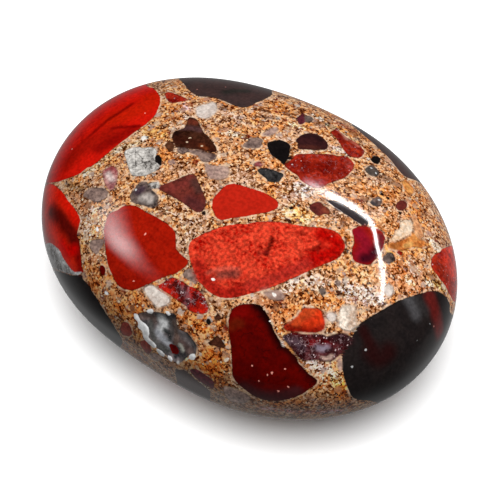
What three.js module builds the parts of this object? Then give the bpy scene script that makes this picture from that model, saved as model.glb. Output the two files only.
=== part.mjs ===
// Palm stone: a pebble of spotted jasper conglomerate, ground to an oval and polished, with one resting spot underneath.
// Millimetres, +Z up, +X along the stone. The origin is the middle of the resting spot, under the centre of the stone.
import * as THREE from "three";
import { mergeVertices } from "three/addons/utils/BufferGeometryUtils.js";

// Driving dimensions of the finished stone.
const LENGTH = 64;
const WIDTH = 48.6;
const THICKNESS = 27;
// How much of the full oval is missing under the resting spot, which is where the flat comes from.
const RESTING_CUT = 0.35;

// The plan is a superellipse, which is an ellipse at 2 and a rectangle at infinity. The side view is another one.
const PLAN_EXPONENT = 2.04;
const PROFILE_EXPONENT = 2.2;

// Hand grinding leaves the plan a little uneven: each lobe is a wave round the outline, as a share of its radius.
const PLAN_LOBES = [
  { waves: 3, cosine: -0.0034, sine: -0.0041 },
  { waves: 4, cosine: -0.0087, sine: -0.0064 },
  { waves: 5, cosine: 0.0026, sine: 0.0035 },
];

// Facets: steps round the plan, and steps up the side from the resting spot to the crown.
const STEPS_ROUND = 88;
const STEPS_UP = 36;

const HALF_LENGTH = LENGTH / 2;
const HALF_WIDTH = WIDTH / 2;
const HALF_OVAL = (THICKNESS + RESTING_CUT) / 2;

// Distance from the axis to the widest outline, in the direction of an angle in the plan.
function planRadius(angle) {
  const along = Math.abs(Math.cos(angle)) / HALF_LENGTH;
  const across = Math.abs(Math.sin(angle)) / HALF_WIDTH;
  const oval =
    (along ** PLAN_EXPONENT + across ** PLAN_EXPONENT) **
    (-1 / PLAN_EXPONENT);
  const waves = PLAN_LOBES.map(
    ({ waves, cosine, sine }) =>
      cosine * Math.cos(waves * angle) + sine * Math.sin(waves * angle),
  );
  return oval * waves.reduce((sum, wave) => sum + wave, 1);
}

// The half side view: share of the plan radius against height, from the middle of the resting spot to the crown.
function sideProfile() {
  const spotHeight = RESTING_CUT - HALF_OVAL;
  const spotAngle = -Math.asin(
    (-spotHeight / HALF_OVAL) ** (PROFILE_EXPONENT / 2),
  );
  const points = [new THREE.Vector2(0, 0)];
  for (let step = 0; step < STEPS_UP; step++) {
    const angle = THREE.MathUtils.lerp(spotAngle, Math.PI / 2, step / STEPS_UP);
    const share = Math.cos(angle) ** (2 / PROFILE_EXPONENT);
    const rise =
      Math.sign(angle) *
      Math.abs(Math.sin(angle)) ** (2 / PROFILE_EXPONENT) *
      HALF_OVAL;
    points.push(new THREE.Vector2(share, rise - spotHeight));
  }
  points.push(new THREE.Vector2(0, THICKNESS));
  return points;
}

// Turns the side view round the axis, then draws every ring out to the plan.
function stoneGeometry() {
  const turned = new THREE.LatheGeometry(sideProfile(), STEPS_ROUND);
  turned.rotateX(Math.PI / 2);
  turned.deleteAttribute("uv");
  turned.deleteAttribute("normal");
  const places = turned.getAttribute("position");
  for (let i = 0; i < places.count; i++) {
    const x = places.getX(i);
    const y = places.getY(i);
    const radius = planRadius(Math.atan2(y, x));
    places.setXY(i, x * radius, y * radius);
  }
  return fittedToBox(mergeVertices(turned));
}

// The lobes move the outline's edges by a few hundredths, so the plan is brought back to its length and width.
function fittedToBox(geometry) {
  geometry.computeBoundingBox();
  const size = geometry.boundingBox.getSize(new THREE.Vector3());
  const middle = geometry.boundingBox.getCenter(new THREE.Vector3());
  geometry.translate(-middle.x, -middle.y, 0);
  geometry.scale(LENGTH / size.x, WIDTH / size.y, 1);
  geometry.computeVertexNormals();
  return geometry;
}

// The sandy matrix gives the stone its overall colour. Its pebbles are colour alone, ground level with it.
const polishedConglomerate = new THREE.MeshStandardMaterial({
  name: "polished_conglomerate",
  color: new THREE.Color(0.5, 0.27, 0.15),
  roughness: 0.08,
  metalness: 0,
});

const palmStone = new THREE.Mesh(stoneGeometry(), polishedConglomerate);
palmStone.name = "palm_stone";

const part = new THREE.Group();
part.add(palmStone);

export default part;
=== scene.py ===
"""Dresses the palm stone: a polished oval of spotted jasper conglomerate, in a small white studio.

The stone is one piece. Its fine surface is grown by a Geometry Nodes tree from the same rule as the solid.
The pebbles in it are colour alone: their outlines were picked in the photograph's frame, are carried
on to the stone along the camera's rays, and become distances that the finish reads, so that every edge is
crisp.
"""

import logging
import math
from collections.abc import Callable, Sequence
from dataclasses import dataclass, field
from enum import Enum

import bpy
import numpy as np
from mathutils import Matrix, Vector
from mathutils.bvhtree import BVHTree


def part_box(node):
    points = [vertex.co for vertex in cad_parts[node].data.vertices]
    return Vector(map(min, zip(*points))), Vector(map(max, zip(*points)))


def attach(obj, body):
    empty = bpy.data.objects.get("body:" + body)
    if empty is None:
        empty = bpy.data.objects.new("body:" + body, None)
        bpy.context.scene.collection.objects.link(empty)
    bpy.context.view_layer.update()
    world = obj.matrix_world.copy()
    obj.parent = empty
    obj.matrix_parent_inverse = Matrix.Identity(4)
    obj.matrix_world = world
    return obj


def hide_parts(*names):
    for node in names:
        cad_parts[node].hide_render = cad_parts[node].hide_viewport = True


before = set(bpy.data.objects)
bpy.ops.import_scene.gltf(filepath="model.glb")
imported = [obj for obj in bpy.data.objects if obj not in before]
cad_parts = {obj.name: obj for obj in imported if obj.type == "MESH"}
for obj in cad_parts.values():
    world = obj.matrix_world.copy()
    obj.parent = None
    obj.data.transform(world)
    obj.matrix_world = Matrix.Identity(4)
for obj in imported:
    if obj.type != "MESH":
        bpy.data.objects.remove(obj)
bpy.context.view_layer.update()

MM = 0.001
PICTURE_SIDE = 500
SEED = 7143
# How bright white paper that faces up looks in the studio, and the least light that a pigment allows for.
LIGHT_ON_TOP = 1.24
LEAST_LIGHT = 0.45
# Pigments stay between these, in linear light, as real ones do.
DARKEST = 0.0005
WHITEST = 0.95

LOG = logging.getLogger("palm_stone")

Color = tuple[float, float, float]


def pigment(color: Color, light: float = LIGHT_ON_TOP) -> np.ndarray:
    """Gives the pigment that the studio light shows as a colour seen on a screen.

    Args:
        color: Red, green and blue from 0 to 255, as seen.
        light: How bright white paper would look there.

    Returns:
        The base colour, in linear light.
    """
    share = np.asarray(color, dtype=float) / 255.0
    linear = np.where(share <= 0.04045, share / 12.92, ((share + 0.055) / 1.055) ** 2.4)
    return np.clip(linear / light, DARKEST, WHITEST)


def points_of(text: str) -> np.ndarray:
    """Reads places in the photograph's pixels, such as "12 30, 14 31.5", as one row for each."""
    return np.array([[float(number) for number in pair.split()] for pair in text.split(",")])


def smooth(value: np.ndarray, low: float, high: float) -> np.ndarray:
    """Rises smoothly from 0 where the value is low to 1 where it is high."""
    share = np.clip((value - low) / (high - low), 0.0, 1.0)
    return share * share * (3.0 - 2.0 * share)


def unit(vectors: np.ndarray) -> np.ndarray:
    """Gives the directions of vectors, one row for each."""
    return vectors / np.linalg.norm(vectors, axis=1)[:, None]


def read_rows(items: bpy.types.bpy_prop_collection, name: str) -> np.ndarray:
    """Reads a vector of every item of a mesh, as one row for each."""
    numbers = np.empty(len(items) * 3, dtype=np.float32)
    items.foreach_get(name, numbers)
    return numbers.reshape(-1, 3).astype(float)


def write_values(mesh: bpy.types.Mesh, name: str, values: np.ndarray) -> None:
    """Writes an attribute on to the mesh.

    Args:
        mesh: The mesh.
        name: The attribute's name.
        values: One number, or one row of three for a colour, for each vertex.
    """
    kind, field_name = ("FLOAT", "value") if values.ndim == 1 else ("FLOAT_COLOR", "color")
    if values.ndim == 2:
        values = np.concatenate([values, np.ones((len(values), 1))], axis=1)
    mesh.attributes.new(name, kind, "POINT").data.foreach_set(field_name, values.astype(np.float32).ravel())


def placed(name: str, data: bpy.types.ID) -> bpy.types.Object:
    """Makes an object of a mesh, a light or a camera, and puts it in the scene."""
    made = bpy.data.objects.new(name, data)
    bpy.context.scene.collection.objects.link(made)
    return made


def operator(operation: str, flipped: bool = False) -> Callable[["Term", "Term | float"], "Term"]:
    """Makes the method of Term for one operator, or for the form of it with the term on the right."""

    def method(self: "Term", other: "Term | float") -> "Term":
        """Works the operation out."""
        return self.worked(operation, other, self) if flipped else self.worked(operation, self, other)

    return method


class Term:
    """A socket of a node tree, on which sums are written as Python expressions."""

    def __init__(self, graph: "Graph", socket: bpy.types.NodeSocket) -> None:
        """Wraps an output socket."""
        self.graph = graph
        self.socket = socket

    @property
    def many(self) -> bool:
        """Whether the socket carries a colour or a vector and not one number."""
        return self.socket.type in {"VECTOR", "RGBA"}

    def worked(self, operation: str, left: "Term | float", right: "Term | float") -> "Term":
        """Adds the Math or Vector Math node of one operation.

        Args:
            operation: The node's operation.
            left: The first value.
            right: The second value.

        Returns:
            The node's result.
        """
        manies = [isinstance(side, Term) and side.many for side in (left, right)]
        tuples = [isinstance(side, tuple) for side in (left, right)]
        if not any(manies):
            return self.graph.node("Math", {0: left, 1: right}, operation=operation)["Value"]
        if operation == "MULTIPLY" and not all(manies) and not any(tuples):
            vector, factor = (left, right) if manies[0] else (right, left)
            return self.graph.node("VectorMath", {0: vector, "Scale": factor}, operation="SCALE")["Vector"]
        return self.graph.node("VectorMath", {0: left, 1: right}, operation=operation)["Vector"]

    __add__ = operator("ADD")
    __radd__ = operator("ADD", flipped=True)
    __sub__ = operator("SUBTRACT")
    __rsub__ = operator("SUBTRACT", flipped=True)
    __mul__ = operator("MULTIPLY")
    __rmul__ = operator("MULTIPLY", flipped=True)
    __truediv__ = operator("DIVIDE")
    __pow__ = operator("POWER")

    def function(self, operation: str) -> "Term":
        """Gives a function of one value, such as SINE or ABSOLUTE."""
        return self.graph.node("Math", {0: self}, operation=operation)["Value"]


class Made:
    """A node that was added, whose outputs are read by name."""

    def __init__(self, graph: "Graph", node: bpy.types.Node) -> None:
        """Wraps a node."""
        self.graph = graph
        self.node = node

    def __getitem__(self, name: str) -> Term:
        """Gives the live output of a name."""
        return Term(self.graph, next(out for out in self.node.outputs if out.name == name and out.enabled))


@dataclass(frozen=True)
class Scatter:
    """Spots scattered at random through the rock.

    Attributes:
        spacing: About how far apart they are, in millimetres.
        picked: The chance up to which a place shows no spot, and from which it shows one in full.
        edge: How far from its middle a spot ends, and how far it is full, as shares of the spacing.
        ragged: How strongly its edge is ragged.
        shift: How far the spots are moved as a whole, so that two kinds don't lie alike.
    """

    spacing: float
    picked: tuple[float, float]
    edge: tuple[float, float]
    ragged: float = 0.0
    shift: tuple[float, float, float] = (0.0, 0.0, 0.0)


class Graph:
    """A node tree under construction, for a material or for a mesh."""

    def __init__(self, tree: bpy.types.NodeTree) -> None:
        """Starts on a tree."""
        self.tree = tree

    @classmethod
    def of(cls, material: bpy.types.Material) -> "Graph":
        """Starts on a material's empty tree."""
        material.use_nodes = True
        material.node_tree.nodes.clear()
        return cls(material.node_tree)

    def node(self, kind: str, inputs: dict | None = None, **settings: object) -> Made:
        """Adds a node.

        Args:
            kind: The node's type without its family, such as Math, or its full type.
            inputs: Values or links, by the socket's name or place.
            **settings: The node's own settings, which are set first.

        Returns:
            The node.
        """
        node = self.tree.nodes.new(kind if "Node" in kind else "ShaderNode" + kind)
        for key, value in settings.items():
            setattr(node, key, value)
        for key, value in (inputs or {}).items():
            if isinstance(key, int):
                socket = node.inputs[key]
            else:
                socket = next(entry for entry in node.inputs if entry.name == key and entry.enabled)
            self.set(socket, value)
        return Made(self, node)

    def set(self, socket: bpy.types.NodeSocket, value: object) -> None:
        """Links a term to a socket, or sets the socket's own value.

        Args:
            socket: The input socket.
            value: A term, a number, or the numbers of a colour or vector.
        """
        if isinstance(value, Term):
            self.tree.links.new(value.socket, socket)
        elif isinstance(value, (tuple, list, np.ndarray)):
            numbers = [float(number) for number in value]
            socket.default_value = numbers + [1.0] * (len(socket.default_value) - len(numbers))
        else:
            socket.default_value = value

    def read(self, name: str, output: str = "Color") -> Term:
        """Reads an attribute of the mesh."""
        return self.node("Attribute", attribute_name=name)[output]

    def clamp(self, value: Term) -> Term:
        """Keeps a value between 0 and 1."""
        return self.node("Clamp", {"Value": value})["Result"]

    def mix(self, factor: "Term | float", first: object, second: object) -> Term:
        """Mixes two colours: a factor of 0 gives the first and 1 the second."""
        return self.node("Mix", {"Factor": factor, "A": first, "B": second}, data_type="RGBA")["Result"]

    def rise(self, value: Term, low: "Term | float", high: "Term | float") -> Term:
        """Rises smoothly from 0 where the value is low to 1 where it is high; low may be the greater one."""
        ends = {"Value": value, "From Min": low, "From Max": high}
        return self.node("MapRange", ends, interpolation_type="SMOOTHSTEP")["Result"]

    def cells(self, place: Term, size: float) -> Made:
        """Adds round cells of about one size in millimetres, each with its own chance colour."""
        return self.node("TexVoronoi", {"Vector": place, "Scale": 1.0 / size}, feature="F1")

    def clouds(self, place: Term, size: float, detail: float = 2.0) -> Term:
        """Adds soft noise of about one size in millimetres, from 0 to 1."""
        return self.node("TexNoise", {"Vector": place, "Scale": 1.0 / size, "Detail": detail})["Fac"]

    def patches(self, place: Term, size: float, detail: float, low: float, high: float) -> Term:
        """Adds soft patches of about one size, which rise where the noise goes from low to high."""
        return self.rise(self.clouds(place, size, detail), low, high)

    def ridges(self, place: Term, size: float) -> Term:
        """Adds the distance to the nearest joint between cells of about one size, as a share of that size."""
        inputs = {"Vector": place, "Scale": 1.0 / size}
        return self.node("TexVoronoi", inputs, feature="DISTANCE_TO_EDGE")["Distance"]

    def channels(self, color: Term) -> tuple[Term, Term, Term]:
        """Parts a colour or vector into its three numbers."""
        made = self.node("SeparateXYZ", {0: color})
        return made["X"], made["Y"], made["Z"]

    def scatter(self, place: Term, scatter: Scatter, ragged: "Term | float" = 0.0) -> tuple[Made, Term]:
        """Adds spots scattered at random.

        Args:
            place: The place in millimetres.
            scatter: How they lie.
            ragged: Noise that makes their edges ragged.

        Returns:
            The cells that they lie in, and 1 in the spots and 0 outside.
        """
        cells = self.cells(place + scatter.shift, scatter.spacing)
        picked = self.rise(self.channels(cells["Color"])[0], *scatter.picked)
        return cells, picked * self.rise(cells["Distance"] + ragged * scatter.ragged, *scatter.edge)

    def ramp(self, value: Term, stops: Sequence[tuple[float, Color]], most: float = 1.0) -> Term:
        """Gives a colour for each value, between stops.

        Args:
            value: The place on the ramp.
            stops: Places from 0 to 1, each with its linear colour.
            most: The greatest number among the colours, if over 1.

        Returns:
            The colour.
        """
        made = self.node("ValToRGB", {"Fac": value})
        elements = made.node.color_ramp.elements
        while len(elements) < len(stops):
            elements.new(1.0)
        for element, (place, color) in zip(elements, stops):
            element.position = place
            element.color = (*[float(part) / most for part in color], 1.0)
        return made["Color"] * most


@dataclass(frozen=True)
class PhotoCamera:
    """Where the photograph was taken from, fitted to the stone's outline. Lengths are in millimetres.

    Attributes:
        azimuth: How far round the stone the camera stands, in degrees.
        elevation: How steeply it looks down, in degrees.
        lens: The length of its lens.
        sensor: The width of its picture inside.
        distance: How far it is from its target.
        target_height: How high the target would be if it weren't moved.
        target_right: How far the target is moved to the picture's right.
        target_up: How far it is moved to the picture's top.
    """

    azimuth: float = 36.4
    elevation: float = 55.0
    lens: float = 110.0
    sensor: float = 36.0
    distance: float = 219.8
    target_height: float = 13.5
    target_right: float = 0.34
    target_up: float = -1.72

    @property
    def back(self) -> Vector:
        """Unit vector from the stone towards the camera."""
        turn, rise = math.radians(self.azimuth), math.radians(self.elevation)
        return Vector((math.sin(turn) * math.cos(rise), -math.cos(turn) * math.cos(rise), math.sin(rise)))

    @property
    def right(self) -> Vector:
        """Unit vector to the picture's right."""
        turn = math.radians(self.azimuth)
        return Vector((math.cos(turn), math.sin(turn), 0.0))

    @property
    def up(self) -> Vector:
        """Unit vector to the picture's top."""
        return self.back.cross(self.right)

    @property
    def place(self) -> Vector:
        """The camera's place."""
        target = Vector((0.0, 0.0, self.target_height)) + self.right * self.target_right
        return target + self.up * self.target_up + self.back * self.distance

    @property
    def focal(self) -> float:
        """The lens in pixels of the picture."""
        return self.lens / self.sensor * PICTURE_SIDE

    def picture(self, places: np.ndarray) -> np.ndarray:
        """Gives the pixels at which places are seen.

        Args:
            places: One row for each place, in millimetres.

        Returns:
            One row for each place, in pixels.
        """
        away = places - np.array(self.place)
        depth = -away @ np.array(self.back)
        across = away @ np.array(self.right) / depth
        down = -(away @ np.array(self.up)) / depth
        return PICTURE_SIDE / 2 + self.focal * np.stack([across, down], axis=1)

    def ray(self, pixel: np.ndarray) -> Vector:
        """Gives the direction in which the camera sees a pixel."""
        across, down = (float(number) - PICTURE_SIDE / 2 for number in pixel)
        return (self.right * across - self.up * down - self.back * self.focal).normalized()

    def towards(self, turn: float, rise: float) -> Vector:
        """Gives a direction as someone behind the camera would say it.

        Args:
            turn: Degrees to the right of straight ahead.
            rise: Degrees above the horizon.

        Returns:
            The unit vector.
        """
        ahead = Vector((-self.back.x, -self.back.y, 0.0)).normalized()
        level = ahead * math.cos(math.radians(turn)) + self.right * math.sin(math.radians(turn))
        return level * math.cos(math.radians(rise)) + Vector((0, 0, math.sin(math.radians(rise))))

    def build(self) -> None:
        """Makes the camera object and gives it to the scene."""
        data = bpy.data.cameras.new("studio_camera")
        data.lens = self.lens
        data.sensor_width = self.sensor
        data.clip_start = 0.01
        data.clip_end = 20.0
        camera = placed("studio_camera", data)
        turn = Matrix((self.right, self.up, self.back)).transposed().to_4x4()
        camera.matrix_world = Matrix.Translation(self.place * MM) @ turn
        bpy.context.scene.camera = camera


@dataclass(frozen=True)
class Look:
    """How one kind of rock in the conglomerate looks, polished.

    Attributes:
        base: Its colour as seen.
        second: The colour of its mottles.
        fine: How strongly sub-millimetre mottles show, from 0 to 1.
        broad: How strongly cloudy mottles of a few millimetres show.
        crystal: How much of it breaks into crystal faces, with painted light and shade on them.
        blur: Half the width of its edge against the sand, in millimetres.
    """

    base: Color
    second: Color
    fine: float = 0.15
    broad: float = 0.3
    crystal: float = 0.0
    blur: float = 0.05


class Rock(Enum):
    """The kinds of rock among the pebbles."""

    CAP_RED = Look((176, 18, 7), (136, 7, 4), 0.15, 0.5)
    DUSK_RED = Look((166, 26, 8), (134, 13, 4), 0.2, 0.5)
    FLAME_RED = Look((244, 80, 52), (168, 10, 4), 1.0, 0.14)
    OVAL_RED = Look((197, 38, 22), (178, 28, 14), 0.1, 0.3)
    BRICK_RED = Look((192, 52, 30), (116, 12, 8), 0.7, 0.5, 0.14)
    DEEP_RED = Look((90, 4, 1), (56, 3, 3), 0.1, 0.6)
    MAROON = Look((128, 54, 44), (82, 34, 30), 0.4, 0.6)
    WINE = Look((64, 31, 31), (46, 22, 24), 0.3, 0.5)
    PLUM = Look((104, 42, 52), (60, 26, 32), 0.5, 0.5)
    BROWN = Look((84, 46, 32), (48, 22, 12), 0.6, 0.6)
    UMBER = Look((66, 48, 46), (48, 40, 40), 0.1, 0.5)
    BLACK = Look((18, 15, 15), (30, 24, 23), 0.2, 0.4)
    BLUE_BLACK = Look((72, 70, 70), (28, 26, 27), 0.6, 0.5, 0.05)
    GREY = Look((164, 136, 124), (88, 70, 66), 0.6, 0.6, 0.0, 0.1)
    DARK_GREY = Look((134, 113, 104), (50, 41, 40), 0.6, 0.6, 0.0, 0.1)
    SMOKY = Look((104, 94, 94), (40, 38, 40), 0.45, 0.9, 0.03)
    LILAC = Look((206, 172, 154), (138, 108, 104), 0.6, 0.5, 0.0, 0.2)
    MILK = Look((234, 221, 211), (196, 176, 164), 0.3, 0.5, 0.0, 0.2)
    SPECKLED = Look((248, 242, 234), (74, 68, 64), 0.6, 0.5, 0.05, 0.1)
    DRUSE = Look((112, 60, 62), (58, 10, 14), 0.6, 1.0, 0.5, 0.14)
    RED_DRUSE = Look((206, 34, 18), (96, 10, 8), 0.6, 0.5, 0.4, 0.08)
    CREAM = Look((250, 230, 206), (226, 176, 130), 0.4, 0.7, 0.0, 0.1)
    OCHRE = Look((246, 168, 92), (192, 96, 36), 0.7, 0.6, 0.0, 0.22)
    PEACH = Look((250, 192, 140), (204, 134, 88), 0.6, 0.6, 0.0, 0.22)
    EMBER = Look((204, 54, 28), (120, 22, 10), 0.7, 0.6, 0.0, 0.16)
    PALE = Look((255, 244, 228), (198, 166, 142), 0.7, 0.5, 0.0, 0.2)
    WHITE = Look((255, 250, 242), (250, 236, 224), 0.2, 0.1)
    PINK = Look((212, 160, 150), (150, 74, 76), 0.7, 0.7, 0.0, 0.16)


@dataclass(frozen=True)
class Pebble:
    """One pebble that the photograph shows.

    Attributes:
        rock: What it is made of.
        outline: Its outline in the photograph's pixels. Points past the stone's edge lie on the hidden side.
    """

    rock: Rock
    outline: str


def pebbles(text: str) -> tuple[Pebble, ...]:
    """Reads pebbles, with a semicolon between them, each as its rock, a colon and its outline."""
    pairs = (entry.split(":") for entry in text.split(";"))
    return tuple(Pebble(Rock[name.strip()], outline) for name, outline in pairs)
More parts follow.
